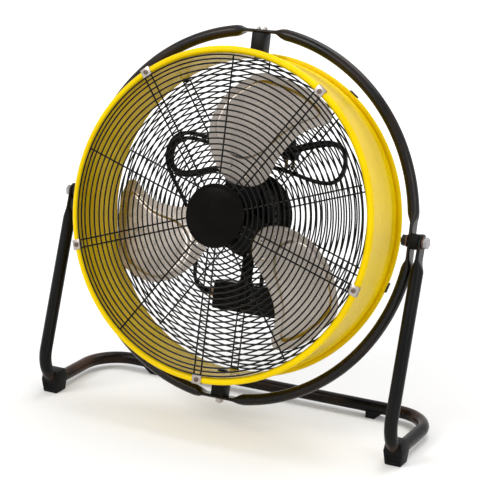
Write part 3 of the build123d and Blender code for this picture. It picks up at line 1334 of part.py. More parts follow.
def rear_guard(kind):
    if kind == "rings":
        return turned_over(guard_rings(DRUM_REAR, []))
    if kind == "spokes":
        return turned_over(guard_spokes(DRUM_REAR, MOTOR_RADIUS + 2.0))
    if kind == "clips":
        return turned_over(guard_clips(DRUM_REAR, REAR_BEAD_RADIUS, REAR_BEAD))
    return turned_over(clip_screws(DRUM_REAR, REAR_BEAD_RADIUS))


def stand_parts():
    frame = stand_frame()
    foot = front_foot(frame)
    rear = rear_foot(frame)
    return {
        "stand_frame": frame,
        "front_foot_right": foot,
        "front_foot_left": mirror(foot, about=Plane.YZ),
        "rear_foot_right": rear,
        "rear_foot_left": mirror(rear, about=Plane.YZ),
        "pivot_bolts": pivot_bolts(),
        "pivot_nuts": pivot_nuts(),
        "pivot_washers": pivot_washers(),
        "pivot_spacers": pivot_spacers(),
    }


def head_parts():
    parts = {
        "hoop_frame": hoop_frame(),
        "top_bracket": top_bracket(),
        "bottom_bracket": bottom_bracket(),
        "bracket_bolts": bracket_bolts(),
        "bracket_nuts": bracket_nuts(),
        "drum_bolts": drum_bolts(),
        "drum_nuts": drum_nuts(),
        "drum_shell": drum_shell(),
        "front_guard_rings": front_guard("rings"),
        "front_guard_spokes": front_guard("spokes"),
        "front_guard_clips": front_guard("clips"),
        "front_clip_screws": front_guard("screws"),
        "front_cap": front_cap(),
        "rear_guard_rings": rear_guard("rings"),
        "rear_guard_spokes": rear_guard("spokes"),
        "rear_guard_clips": rear_guard("clips"),
        "rear_clip_screws": rear_guard("screws"),
        "motor_plate": motor_plate(),
        "motor_housing": motor_housing(),
        "motor_front_cover": motor_front_cover(),
        "motor_bearings": bearings(),
        "stator_core": stator_core(),
        "stator_windings": stator_windings(),
        "motor_bolts": motor_bolts(),
        "motor_shaft": motor_shaft(),
        "rotor": rotor(),
        "shaft_sleeves": shaft_sleeves(),
        "impeller_spider": impeller_spider(),
        "blade_rivets": blade_rivets(),
        "hub_nut": hub_nut(),
        "box_strap": box_strap(),
        "strap_screws": strap_screws(),
        "switch_box": switch_box(),
        "switch_box_lid": switch_box_lid(),
        "lid_screws": lid_screws(),
        "capacitor": capacitor(),
        "rotary_switch": rotary_switch(),
        "speed_knob": speed_knob(),
        "cable_gland": cable_gland(),
        "motor_lead": motor_lead(),
        "cord_lead": cord_lead(),
        "cord_hank": cord_hank(),
        "cord_tie": cord_tie(),
        "plug_body": plug_body(),
        "plug_pins": plug_pins(),
    }
    for i in range(BLADES):
        parts["blade_" + str(i + 1)] = blade(i * 360 / BLADES)
    return {name: place_head(shape) for name, shape in parts.items()}


os.makedirs("parts", exist_ok=True)
fan = {**stand_parts(), **head_parts()}
for name, shape in fan.items():
    export_step(shape, "parts/" + name + ".step")
print(len(fan), "nodes")
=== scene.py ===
# %% [markdown]
# A drum fan on a floor stand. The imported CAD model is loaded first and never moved: it is the frame
# that every piece made below is fitted to. Blender's part is the looks: round wire where the CAD
# has flats, rolled edges, pressed sheet, and a finish for every surface.

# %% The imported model
from math import atan2, copysign, cos, hypot, pi, radians, sin, sqrt

import bmesh
import bpy
from mathutils import Matrix, Vector


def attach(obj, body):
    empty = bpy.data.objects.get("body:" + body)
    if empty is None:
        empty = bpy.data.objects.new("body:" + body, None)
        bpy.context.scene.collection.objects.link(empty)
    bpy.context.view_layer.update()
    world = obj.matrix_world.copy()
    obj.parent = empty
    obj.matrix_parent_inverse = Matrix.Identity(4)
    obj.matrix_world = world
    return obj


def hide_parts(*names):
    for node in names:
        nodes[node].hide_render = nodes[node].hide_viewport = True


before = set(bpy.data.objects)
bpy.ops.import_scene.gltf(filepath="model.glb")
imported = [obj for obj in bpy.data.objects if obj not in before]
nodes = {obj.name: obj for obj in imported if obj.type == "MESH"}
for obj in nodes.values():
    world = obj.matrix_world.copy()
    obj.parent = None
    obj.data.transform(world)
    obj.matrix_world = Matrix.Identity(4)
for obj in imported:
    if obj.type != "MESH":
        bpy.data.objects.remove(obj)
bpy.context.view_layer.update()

# %% [markdown]
# The stand is drawn upright. The head, with drum, guards and hoop, is drawn lying on its back with
# its axis along Z, which makes every round piece a simple spin, and one matrix then stands it up
# and leans it back. Both are drawn in millimetres.

# %% Two drawing frames
AXIS_Y = 17.471
AXIS_HEIGHT = 354.0
TILT = 12.55
MM = Matrix.Scale(0.001, 4)
PIVOT = MM @ Matrix.Translation((0, AXIS_Y, AXIS_HEIGHT))
HEAD = PIVOT @ Matrix.Rotation(radians(90 - TILT), 4, "X")
SIDEWAYS = Matrix.Rotation(pi / 2, 4, "Y")


def clockwise(angle):
    return Matrix.Rotation(radians(-angle), 4, "Z")


def linked(name, data):
    obj = bpy.data.objects.new(name, data)
    bpy.context.scene.collection.objects.link(obj)
    return obj


# %% [markdown]
# The camera stands where the photographer stood, in front of the fan, to its right and above it.
# The numbers come from fitting the drum's rims, the hoop and the feet.

# %% Camera
camera_data = bpy.data.cameras.new("camera")
camera_data.sensor_width = 36.0
camera_data.lens = 127.37
camera = linked("camera", camera_data)
camera.location = (1.29247, -2.43697, 1.0993)
camera.rotation_euler = (radians(74.129), radians(-0.737), radians(27.931))
bpy.context.scene.camera = camera

# %% [markdown]
# A Value wraps one output of a node, and sums with Values add the Math nodes that do them. Nodes is
# a tree of nodes, whose node method adds any other node.


# %% Shader arithmetic
class Value:
    def __init__(self, owner, socket):
        self.owner, self.socket = owner, socket

    def maths(self, operation, other):
        return self.owner.node("Math", {"operation": operation}, {0: self, 1: other})

    def __add__(self, other):
        return self.maths("ADD", other)

    def __sub__(self, other):
        return self.maths("SUBTRACT", other)

    def __mul__(self, other):
        return self.maths("MULTIPLY", other)


# %% A tree of nodes
class Nodes:
    def __init__(self, owner):
        owner.use_nodes = True
        self.tree = owner.node_tree

    def node(self, kind, settings=None, inputs=None, out=0):
        made = self.tree.nodes.new("ShaderNode" + kind)
        for key, value in (settings or {}).items():
            setattr(made, key, value)
        for key, value in (inputs or {}).items():
            self.feed(made.inputs[key], value)
        return Value(self, made.outputs[out])

    def feed(self, socket, value):
        if isinstance(value, Value):
            self.tree.links.new(value.socket, socket)
        else:
            socket.default_value = value

    def seen_directly(self):
        """One for rays from the camera and for those by way of gloss or glass."""
        kinds = ("Camera", "Glossy", "Transmission")
        rays = [self.node("LightPath", out=f"Is {kind} Ray") for kind in kinds]
        clamped = {"operation": "ADD", "use_clamp": True}
        return self.node("Math", clamped, {0: rays[0] + rays[1], 1: rays[2]})


# %% [markdown]
# A Finish is one material, kept under its name. Its noises lie on the object's own coordinates, so
# that they ride with the piece.

# %% One material
FINISHES = {}


class Finish(Nodes):
    def __init__(self, name):
        FINISHES[name] = bpy.data.materials.new(name + "_finish")
        super().__init__(FINISHES[name])
        self.shader = self.tree.nodes["Principled BSDF"]
        self.place = self.node("TexCoord", out="Object")

    def set(self, **sockets):
        for name, value in sockets.items():
            self.feed(self.shader.inputs[name.replace("_", " ")], value)

    def noise(self, scale, detail=3.0, roughness=0.5, stretch=None):
        where = self.place
        if stretch:
            where = self.node("Mapping", None, {"Vector": where, "Scale": stretch})
        inputs = {"Vector": where, "Scale": scale, "Detail": detail, "Roughness": roughness}
        return self.node("TexNoise", None, inputs, "Fac")

    def between(self, value, low, high, first=0.0, last=1.0):
        inputs = {0: value, 1: low, 2: high, 3: first, 4: last}
        return self.node("MapRange", {"interpolation_type": "SMOOTHSTEP"}, inputs)

    def blend(self, factor, first, second):
        inputs = {0: factor, 6: first, 7: second}
        return self.node("Mix", {"data_type": "RGBA"}, inputs, 2)

    def bump(self, height, strength, distance=0.001, under=None):
        inputs = {"Height": height, "Strength": strength, "Distance": distance}
        if under is not None:
            inputs["Normal"] = under
        return self.node("Bump", None, inputs, "Normal")


def colour(red, green, blue):
    return (red, green, blue, 1.0)


# %% [markdown]
# Glossy yellow enamel has a faint orange peel, is deeper in colour where thick, and gets scuffed.


# %% Yellow enamel
def yellow_enamel():
    paint = Finish("yellow_sheet")
    cloud = paint.noise(9.0, 2.0)
    tone = paint.between(cloud, 0.3, 0.7)
    body = paint.blend(tone, colour(0.84, 0.575, 0.0), colour(0.92, 0.65, 0.0))
    scuffs = paint.between(paint.noise(38.0, 6.0, 0.65, (1.0, 1.0, 0.35)), 0.66, 0.74)
    peel = paint.noise(420.0, 2.0)
    waves = paint.noise(26.0, 1.0)
    paint.set(
        Base_Color=paint.blend(scuffs * 0.35, body, colour(0.55, 0.42, 0.10)),
        Roughness=paint.between(cloud, 0.3, 0.7, 0.20, 0.30) + scuffs * 0.2,
        Coat_Weight=0.05,
        Coat_Roughness=0.10,
        Specular_IOR_Level=0.05,
        Normal=paint.bump(peel, 0.03, 0.0005, paint.bump(waves, 0.10, 0.002)),
    )


# %% [markdown]
# Powder coat is satin with a fine texture. Along the stand's rails a bronze metallic tone is mixed
# in by a slow noise that fades out above the rails and towards the middle: partly wear, where the
# coat is rubbed thin, and partly a painted brown reflection of the glossy black tube.

# %% Black powder coat
# The bronze tone is partly bare metal where the coat is worn, and partly a painted brown reflection.
WORN_AND_SHEEN_TONE = colour(0.085, 0.040, 0.020)


# Where the bronze tone goes, partly wear and partly painted brown reflection: a slow noise, kept low
# on the rails and away from the middle when a height is given.
def rubbed_places(coat, wear_and_sheen, wear_and_sheen_below):
    worn_and_sheen = coat.between(coat.noise(22.0, 7.0, 0.62, (1.0, 0.45, 1.0)), 0.38, 0.66) * wear_and_sheen
    if wear_and_sheen_below:
        inputs = {"Vector": coat.place}
        height = coat.node("SeparateXYZ", None, inputs, "Z")
        sideways = coat.node("SeparateXYZ", None, inputs, "X")
        aside = coat.node("Math", {"operation": "ABSOLUTE"}, {0: sideways})
        worn_and_sheen = worn_and_sheen * coat.between(height, wear_and_sheen_below + 0.02, wear_and_sheen_below)
        worn_and_sheen = worn_and_sheen * coat.between(aside, 0.22, 0.32, 0.25, 1.0)
    return worn_and_sheen


def powder_coat(name, base, rough, wear_and_sheen=0.0, grain=900.0, shine=0.16, wear_and_sheen_below=None):
    coat = Finish(name)
    cloud = coat.noise(14.0, 4.0)
    clean = colour(base * 0.8, base * 0.78, base * 0.78)
    dusty = colour(base * 1.5, base * 1.4, base * 1.35)
    tone = coat.blend(coat.between(cloud, 0.35, 0.75), clean, dusty)
    roughness = coat.between(cloud, 0.3, 0.7, rough - 0.05, rough + 0.07)
    # The bronze tone and its metal stand partly for wear and partly for a painted brown reflection.
    if wear_and_sheen:
        worn_and_sheen = rubbed_places(coat, wear_and_sheen, wear_and_sheen_below)
        tone = coat.blend(worn_and_sheen, tone, WORN_AND_SHEEN_TONE)
        roughness = roughness - worn_and_sheen * 0.06
        coat.set(Metallic=worn_and_sheen * 0.7)
    coat.set(
        Base_Color=tone,
        Roughness=roughness,
        Specular_IOR_Level=shine,
        Normal=coat.bump(coat.noise(grain, 2.0), 0.12, 0.0004),
    )


# %% [markdown]
# Bare metals get their character from how the roughness and a shallow bump change across them.


# %% Bare metals
def bare_metal(name, tint, rough, spread=0.1, grain=(1.0, 1.0, 1.0), scale=60.0, stain=None):
    metal = Finish(name)
    lines = metal.noise(scale, 5.0, 0.6, grain)
    cloud = metal.noise(11.0, 3.0)
    darker = colour(*(c * 0.82 for c in tint))
    tone = metal.blend(metal.between(cloud, 0.3, 0.7), darker, colour(*tint))
    if stain:
        spots = metal.between(metal.noise(55.0, 6.0, 0.7), 0.62, 0.70) * 0.6
        tone = metal.blend(spots, tone, colour(*stain))
    metal.set(
        Base_Color=tone,
        Metallic=1.0,
        Roughness=metal.between(lines, 0.3, 0.7, rough - spread / 2, rough + spread / 2),
        Normal=metal.bump(lines, 0.05, 0.0004),
    )


# %% [markdown]
# Moulded plastic and rubber have one colour with a faint cloud, and the mould's fine grain.


# %% Moulded plastics and rubber
def moulded(name, tint, rough, grain=700.0, depth=0.15, shine=0.16):
    plastic = Finish(name)
    cloud = plastic.noise(30.0, 3.0)
    lighter = colour(*(min(c * 1.35, 1.0) for c in tint))
    tone = plastic.between(cloud, 0.3, 0.7)
    plastic.set(
        Base_Color=plastic.blend(tone, colour(*tint), lighter),
        Roughness=plastic.between(cloud, 0.3, 0.7, rough - 0.05, rough + 0.06),
        Specular_IOR_Level=shine,
        Normal=plastic.bump(plastic.noise(grain, 2.0), depth, 0.0004),
    )


# %% [markdown]
# The motor's core is a stack of thin sheets, whose edges a wave texture draws as fine bands.


# %% Stacked sheet
def stacked_sheet(name, tint, pitch):
    stack = Finish(name)
    inputs = {"Vector": stack.place, "Scale": pitch, "Distortion": 0.0}
    layers = stack.node("TexWave", {"bands_direction": "Y"}, inputs, "Fac")
    stack.set(
        Base_Color=stack.blend(layers, colour(*(c * 0.7 for c in tint)), colour(*tint)),
        Metallic=1.0,
        Roughness=stack.between(stack.noise(80.0), 0.3, 0.7, 0.4, 0.6),
        Normal=stack.bump(layers, 0.3, 0.0003),
    )


# %% [markdown]
# A finish has the name of the slot that wears it. A few pieces wear another one than their slot's.

# %% The finishes
# The rails get the most of the bronze tone, and the hoop a little of it: partly wear and partly a
# painted brown reflection.
RAIL_COAT = {"wear_and_sheen": 0.62, "shine": 0.13, "wear_and_sheen_below": 0.03}
ALONG_BLADE = (1.0, 0.12, 1.0)

yellow_enamel()
powder_coat("black_tube", 0.004, 0.24, wear_and_sheen=0.14, shine=0.22)
powder_coat("floor_tube", 0.003, 0.28, **RAIL_COAT)
powder_coat("black_sheet", 0.0038, 0.40, shine=0.11)
powder_coat("black_wire", 0.0035, 0.30, shine=0.13)
powder_coat("black_motor", 0.0035, 0.42, grain=500.0, shine=0.12)
powder_coat("black_hub", 0.0035, 0.40, grain=500.0, shine=0.12)
moulded("black_cap", (0.0026, 0.0020, 0.0016), 0.26, depth=0.04, shine=0.05)
moulded("black_plastic", (0.0034, 0.0033, 0.0034), 0.50, shine=0.10)
bare_metal("blade", (0.505, 0.452, 0.405), 0.31, 0.12, ALONG_BLADE, 90.0)
bare_metal("rivet", (0.72, 0.69, 0.67), 0.24)
bare_metal("zinc", (0.42, 0.38, 0.345), 0.36, 0.14, stain=(0.16, 0.09, 0.06))
bare_metal("bright_head", (0.34, 0.33, 0.33), 0.30, stain=(0.30, 0.24, 0.20))
bare_metal("tarnished", (0.17, 0.125, 0.105), 0.42, 0.14, stain=(0.09, 0.05, 0.03))
bare_metal("rusty", (0.16, 0.095, 0.07), 0.48, 0.14, stain=(0.08, 0.03, 0.015))
bare_metal("dark_zinc", (0.030, 0.028, 0.027), 0.45)
bare_metal("bearing_steel", (0.62, 0.62, 0.64), 0.22)
stacked_sheet("lamination", (0.30, 0.30, 0.32), 300.0)
stacked_sheet("rotor_aluminium", (0.5, 0.5, 0.52), 200.0)
bare_metal("copper", (0.72, 0.30, 0.14), 0.28, 0.2, scale=500.0)
moulded("capacitor_plastic", (0.62, 0.62, 0.60), 0.4, shine=0.4)
moulded("switch_plastic", (0.10, 0.10, 0.11), 0.45, shine=0.4)
bare_metal("brass", (0.82, 0.64, 0.44), 0.28, 0.12, stain=(0.35, 0.22, 0.10))
moulded("cord", (0.0045, 0.0045, 0.0048), 0.38, grain=300.0, depth=0.08)
print(len(FINISHES), "finishes")

# %% [markdown]
# The cord comes before the pieces, because its length is fixed. It leaves the gland on the switch
# box, climbs behind the rear guard, and is wound into a slack hank of two and a third turns tied at
# its waist, in by one cord a turn, up a layer halfway, and out again over the plug.

# %% The hank's turns
CORD = 7.0
HANK_Z = -58.3
HANK_START = 160.0
HANK_END = 995.0
HANK_MIDDLE = (HANK_START + HANK_END) / 2
HANK_CENTRE = (-11.0, 96.0)
HANK_REACH = 176.0
HANK_SLOPE = 0.06
HANK_WAIST = 13.5
HANK_SWELL = 88.5
TURN_GAP = 8.2
LOOP_GAP = 2.3
CLIMB_ANGLE = 76.0
LAYER = 8.0


def hank_base(angle):
    a = -radians(angle)
    swell = HANK_WAIST + HANK_SWELL * cos(a) ** 2
    x = HANK_REACH * cos(a)
    return Vector((x + HANK_CENTRE[0], HANK_CENTRE[1] + HANK_SLOPE * x + swell * sin(a), 0))


def hank_point(angle):
    along = hank_base(angle + 0.5) - hank_base(angle - 0.5)
    inward = Vector((along.y, -along.x, 0)).normalized()
    turns = (min(angle, 2 * HANK_MIDDLE - angle) - HANK_START) / 360
    depth = turns * (TURN_GAP + LOOP_GAP * cos(radians(angle)) ** 2)
    climb = (angle - HANK_MIDDLE + CLIMB_ANGLE) / (2 * CLIMB_ANGLE)
    rise = LAYER * (1 - cos(pi * min(max(climb, 0.0), 1.0))) / 2
    return hank_base(angle) + inward * depth + Vector((0, 0, HANK_Z - rise))


# %% [markdown]
# One smooth spline makes all of the cord, so that no joint shows: a few points for the climb, 20 a
# turn for the hank, and an arch that brings the end into the plug.

# %% The whole cord as one spline
BOX_LEFT = Vector((-70, -146, -75.9))
PLUG_END = Vector((45.0, 135.0, HANK_Z - 22.5))
climb_points = [BOX_LEFT, (-116, -147, -75.9), (-102, -64, -64), (-138, 6, -60)]
turn_points = [hank_point(HANK_START + 18.0 * i) for i in range(46)]
tail_points = [(-48.2, 110.8, -66.3), (-15.1, 125.5, -68), (5.5, 155.4, -71)]
tail_points += [(28.7, 159.6, -74.5), (45, 145.8, -79.6), PLUG_END]
route = [HEAD @ Vector(point) for point in climb_points + turn_points + tail_points]

cord_data = bpy.data.curves.new("mains_cord", "CURVE")
cord_data.dimensions = "3D"
cord_data.bevel_depth = CORD / 2000
cord_data.bevel_resolution = 3
cord_data.resolution_u = 6
cord_data.use_fill_caps = True
cord_data.materials.append(FINISHES["cord"])
spline = cord_data.splines.new("NURBS")
spline.points.add(len(route) - 1)
for spot, point in zip(spline.points, route):
    spot.co = (*point, 1.0)
spline.order_u = 3
spline.use_endpoint_u = True
mains_cord = linked("mains_cord", cord_data)
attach(mains_cord, "head")
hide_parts("cord_lead", "cord_hank")
print("mains_cord", len(route), "points")

# %% [markdown]
# From here on each piece is a bmesh grown from a circle or a few points. One helper ends them all:
# it joins doubled points, turns the faces outwards, moves the mesh to its place, keeps real edges
# sharp, gives it the finish named after its slot, and attaches it to its body.


# %% Ending a piece
def as_object(name, mesh):
    data = bpy.data.meshes.new(name)
    mesh.to_mesh(data)
    mesh.free()
    return linked(name, data)


def piece(name, mesh, place, body, slot, stands_for=(), edge=35.0, finish=None):
    bmesh.ops.remove_doubles(mesh, verts=mesh.verts, dist=1e-3)
    bmesh.ops.dissolve_degenerate(mesh, edges=mesh.edges, dist=1e-4)
    bmesh.ops.recalc_face_normals(mesh, faces=mesh.faces)
    mesh.transform(place)
    obj = as_object(name, mesh)
    obj.data.polygons.foreach_set("use_smooth", [True] * len(obj.data.polygons))
    obj.data.set_sharp_from_angle(angle=radians(edge))
    obj.data.materials.append(FINISHES[finish or slot])
    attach(obj, body)
    if stands_for:
        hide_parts(*stands_for)
    print(name, len(obj.data.polygons), "faces")
    return obj


def on_head(name, mesh, slot, *stands_for, body="head", **how):
    return piece(name, mesh, HEAD, body, slot, stands_for, **how)


def on_stand(name, mesh, slot, *stands_for, place=MM, **how):
    return piece(name, mesh, place, "stand", slot, stands_for, **how)


# %% [markdown]
# Most pieces are turned: a profile of radius and height is spun once round the axis.


# %% Turning a profile round the axis
def arc(x, z, radius, start, end, steps):
    turns = [radians(start + (end - start) * i / steps) for i in range(steps + 1)]
    return [(x + radius * cos(t), z + radius * sin(t)) for t in turns]


def spun(outline, steps=96, closed=True, into=None):
    mesh = into or bmesh.new()
    corners = [mesh.verts.new((r, 0, z)) for r, z in outline]
    ends = corners[1:] + corners[:1] if closed else corners[1:]
    profile = corners + [mesh.edges.new(pair) for pair in zip(corners, ends)]
    bmesh.ops.spin(mesh, geom=profile, axis=(0, 0, 1), angle=2 * pi, steps=steps, use_merge=True)
    return mesh


# %% [markdown]
# Folded and moulded pieces are blocks with bevelled edges. Straight wires are rods.


# %% Blocks and rods
def rounded(mesh, edges, offset, segments=2, clamp=False):
    bmesh.ops.bevel(
        mesh, geom=edges, offset=offset, segments=segments, profile=0.5,
        affect="EDGES", material=-1, clamp_overlap=clamp,
    )
    return mesh


def edges_at(spots):
    return list({edge for spot in spots for edge in spot.link_edges})


def block(mesh, low, high, round_over=0.0, place=Matrix.Identity(4), segments=2):
    middle = (Vector(low) + Vector(high)) / 2
    size = Vector(high) - Vector(low)
    shape = Matrix.Translation(middle) @ Matrix.Diagonal((*size, 1.0))
    made = bmesh.ops.create_cube(mesh, size=1.0, matrix=place @ shape)["verts"]
    return rounded(mesh, edges_at(made), round_over, segments) if round_over else mesh


def bar(mesh, place, sides, radius, length):
    return bmesh.ops.create_cone(
        mesh, cap_ends=True, segments=sides, radius1=radius, radius2=radius, depth=length,
        matrix=place,
    )["verts"]


def rod(mesh, start, end, radius, sides=10):
    start, end = Vector(start), Vector(end)
    along = end - start
    turn = along.to_track_quat("Z", "Y").to_matrix().to_4x4()
    bar(mesh, Matrix.Translation((start + end) / 2) @ turn, sides, radius, along.length)
    return mesh


# %% [markdown]
# A piece that comes several times is drawn once, at the top, and copied round the axis. A recess
# is cut with a Boolean that is applied at once, so that no hidden cutter stays behind.


# %% Moving, copying and joining
def moved(mesh, matrix, verts=None):
    bmesh.ops.transform(mesh, matrix=matrix, verts=verts or mesh.verts)
    return mesh


def points_of(made):
    return [g for g in made if isinstance(g, bmesh.types.BMVert)]


def copied_round(mesh, angles):
    moved(mesh, clockwise(angles[0]))
    first = mesh.verts[:] + mesh.edges[:] + mesh.faces[:]
    for angle in angles[1:]:
        copy = bmesh.ops.duplicate(mesh, geom=first)["geom"]
        moved(mesh, clockwise(angle - angles[0]), points_of(copy))
    return mesh


def joined(meshes):
    whole = bmesh.new()
    for mesh in meshes:
        data = bpy.data.meshes.new("part")
        mesh.to_mesh(data)
        mesh.free()
        whole.from_mesh(data)
        bpy.data.meshes.remove(data)
    return whole


# %% Modifiers, and the meshes they make
def modifier(obj, kind, **settings):
    made = obj.modifiers.new(kind.lower(), kind)
    for key, value in settings.items():
        setattr(made, key, value)


def evaluated(obj):
    """The mesh of an object with its modifiers, or of a curve, which is then let go."""
    graph = bpy.context.evaluated_depsgraph_get()
    data = bpy.data.meshes.new_from_object(obj.evaluated_get(graph))
    bpy.data.objects.remove(obj)
    mesh = bmesh.new()
    mesh.from_mesh(data)
    bpy.data.meshes.remove(data)
    return mesh


def cut_out(body_mesh, tool_mesh):
    for mesh in (body_mesh, tool_mesh):
        bmesh.ops.recalc_face_normals(mesh, faces=mesh.faces)
    body, tool = as_object("cut_body", body_mesh), as_object("cut_tool", tool_mesh)
    modifier(body, "BOOLEAN", object=tool, operation="DIFFERENCE", solver="EXACT")
    result = evaluated(body)
    bpy.data.objects.remove(tool)
    return result


# %% [markdown]
# The drum is one rolled sheet whose two edges are curled outwards over a wire. Its section is a
# closed line: inside wall, large front curl, outside wall with a stiffening bead near the rear, and
# smaller rear curl.

# %% Drum
BORE = 268.0
WALL = 1.5
FRONT_CURL = (274.0, 79.7, 6.0)
REAR_CURL = (272.8, -45.4, 4.8)
BEAD = [(0.0, -22.0), (1.2, -23.6), (2.2, -26.0), (1.2, -28.4), (0.0, -30.0)]


def drum_section():
    outside = BORE + WALL
    line = [(BORE, REAR_CURL[1]), (BORE, FRONT_CURL[1])]
    line += arc(*FRONT_CURL, 180, -130, 18)[1:]
    line += [(outside, FRONT_CURL[1] - 6.5)]
    line += [(outside + rise, z) for rise, z in BEAD]
    line += [(outside, REAR_CURL[1] + 5.4)]
    line += arc(*REAR_CURL, 130, -180, 16)[:-1]
    return line


on_head("yellow_drum", spun(drum_section(), 144), "yellow_sheet", "drum_shell")

# %% [markdown]
# A guard is 23 rings of round wire welded on spokes: five pairs that run to the clips and five
# single ones. Each ring is a small circle spun round the axis, with fewer steps for the small ones.

# %% Guards
WIRE = 2.8
RINGS = [61.5 + 9.48 * i for i in range(21)] + [258.05, 265.0]
CLIP_ANGLES = [36.0 + 72.0 * i for i in range(5)]
SINGLE_ANGLES = [72.0 * i for i in range(5)]
SPOKE_END = 266.4
PAIR_GAP = 13.0


def ring_wires(height, smallest):
    mesh = bmesh.new()
    for radius in RINGS:
        if radius > smallest:
            steps = 72 if radius < 150 else 120
            spun(arc(radius, height, WIRE / 2, 0, 315, 7), steps, into=mesh)
    return mesh


def spoke_wires(height, start):
    mesh = bmesh.new()
    places = [(angle, 0.0) for angle in SINGLE_ANGLES]
    places += [(angle, side) for angle in CLIP_ANGLES for side in (-PAIR_GAP / 2, PAIR_GAP / 2)]
    for angle, side in places:
        ends = [clockwise(angle) @ Vector((side, y, height)) for y in (start, SPOKE_END)]
        rod(mesh, *ends, WIRE / 2)
    return mesh


GUARDS = [("front", 86.9, 1, 40, 35.0), ("rear", -51.4, -1, 78, 64.0)]
for guard, face, out, smallest, start in GUARDS:
    rings = ring_wires(face + out * WIRE / 2, smallest)
    on_head(guard + "_rings", rings, "black_wire", guard + "_guard_rings")
    spokes = spoke_wires(face - out * WIRE / 2, start)
    on_head(guard + "_spokes", spokes, "black_wire", guard + "_guard_spokes")

# %% [markdown]
# The cap over the hub is a moulded disc with a soft rim, slightly domed.

# %% Cap
CAP_REACH = 53.4
DOME_FOOT = 90.3
DOME_RISE = 4.3
DOME_STEPS = (0.0, 0.2, 0.4, 0.6, 0.75, 0.86, 0.93)


def cap_section():
    dome = [(CAP_REACH * t, DOME_FOOT + DOME_RISE * (1 - t ** 2.2)) for t in DOME_STEPS]
    back = [(CAP_REACH, 86.9), (52.2, 86.9), (52.2, 88.6), (50.0, 89.2), (0.0, 93.0)]
    return dome + arc(50.6, 88.6, 2.8, 75, 0, 5) + back


on_head("hub_cap", spun(cap_section(), closed=False), "black_cap", "front_cap")

# %% [markdown]
# Five clips hold each guard: a folded plate over the rim's curl, with a tongue behind the outermost
# wire, and a pan-head screw. The rear ones are the front ones turned over.


# %% Clips and their screws
def pan_screw(turn, radius=4.1, rise=2.6):
    dome = [(0.0, rise)] + arc(radius - 1.9, rise - 1.9, 1.9, 80, 0, 5)
    screw = spun(dome + [(radius, 0.0), (2.0, 0.0), (2.0, -4.0), (0.0, -4.0)], 28, closed=False)
    for x, y in ((2.3, 0.45), (0.45, 2.3)):
        screw = cut_out(screw, block(bmesh.new(), (-x, -y, rise - 1.3), (x, y, rise + 1.0)))
    return moved(screw, Matrix.Rotation(radians(turn), 4, "Z"))


def clip_plate(face, edge):
    mesh = bmesh.new()
    block(mesh, (-8.5, 266.6, face), (8.5, edge + 1.2, face + 1.2), 0.45)
    block(mesh, (-8.5, edge, face - 7.0), (8.5, edge + 1.2, face + 0.8), 0.45)
    block(mesh, (-4.0, 263.6, face), (4.0, 268.0, face + 1.2), 0.4)
    return mesh


TURNED_OVER = Matrix.Scale(-1, 4, (0, 0, 1))
CLIPS = [
    ("front", (85.7, 280.0), (0, 274.0, 86.9), 20, Matrix.Identity(4), "zinc", "tarnished"),
    ("rear", (50.2, 277.6), (0, 272.8, 51.4), 35, TURNED_OVER, "black_sheet", "black_sheet"),
]
for guard, reach, spot, turn, side, slot, screw_finish in CLIPS:
    plates = copied_round(moved(clip_plate(*reach), side), CLIP_ANGLES)
    on_head(guard + "_clip_plates", plates, slot, guard + "_guard_clips")
    screws = copied_round(moved(pan_screw(turn), side @ Matrix.Translation(spot)), CLIP_ANGLES)
    on_head(guard + "_clip_heads", screws, slot, guard + "_clip_screws", finish=screw_finish)

# %% [markdown]
# Hoop and legs are round tube pressed flat where they are bolted, which widens it. Each point is
# moved by its share of the pressing, from nought where the tube is round to one where it is flat.

# %% Pressing a tube flat
FLAT = 5.6


def eased(share):
    share = min(max(share, 0.0), 1.0)
    return share * share * (3 - 2 * share)


def pressed(across, along, radius, width, share):
    turn = atan2(along, across)
    flat_x = copysign(min(abs(cos(turn)) / cos(radians(45)), 1.0) * FLAT / 2, cos(turn))
    flat_y = copysign(abs(sin(turn)) ** 0.7 * width / 2, sin(turn))
    round_x, round_y = radius * cos(turn), radius * sin(turn)
    return round_x * (1 - share) + flat_x * share, round_y * (1 - share) + flat_y * share


# %% [markdown]
# The hoop is spun like the drum, and its points are then moved: near its top, bottom and sides the
# tube is pressed, and straight there. Two holes are cut for the pivots.

# %% Hoop
HOOP = 312.8
HOOP_Z = -6.4
HOOP_TUBE = 9.75
HOOP_FLAT_WIDTH = 27.0
HOOP_FLAT_RADIUS = 312.0
PIVOT_BORE = 5.08


def hoop_tube():
    mesh = spun(arc(HOOP, HOOP_Z, HOOP_TUBE, 7.5, 352.5, 23), 256)
    for spot in mesh.verts:
        turn = atan2(spot.co.x, spot.co.y)
        nearest = round(turn / (pi / 2)) * (pi / 2)
        offset = turn - nearest
        share = eased((43.0 - abs(HOOP * sin(offset))) / 15.0)
        outward = hypot(spot.co.x, spot.co.y) - HOOP
        across, along = pressed(outward, spot.co.z - HOOP_Z, HOOP_TUBE, HOOP_FLAT_WIDTH, share)
        away = HOOP * cos(offset) * (1 - share) + HOOP_FLAT_RADIUS * share
        lean = offset * (1 - share)
        x = HOOP * sin(offset) + across * sin(lean)
        y = away + across * cos(lean)
        spot.co = Matrix.Rotation(-nearest, 4, "Z") @ Vector((x, y, HOOP_Z + along))
    bores = rod(bmesh.new(), (-330, 0, 0), (-300, 0, 0), PIVOT_BORE, 24)
    return cut_out(mesh, rod(bores, (300, 0, 0), (330, 0, 0), PIVOT_BORE, 24))


on_head("hoop_tube", hoop_tube(), "black_tube", "hoop_frame", edge=50)

# %% [markdown]
# The stand is one tube bent at four corners. It is grown as a bender makes it: a circle is extruded
# for each straight run and spun about the bend's centre for each bend.


# %% A tube grown by runs and bends
def ring_of(made):
    points = points_of(made)
    known = set(points)
    edges = [g for g in made if isinstance(g, bmesh.types.BMEdge) and known.issuperset(g.verts)]
    return points, edges


def extruded(mesh, loop):
    return ring_of(bmesh.ops.extrude_edge_only(mesh, edges=loop)["geom"])


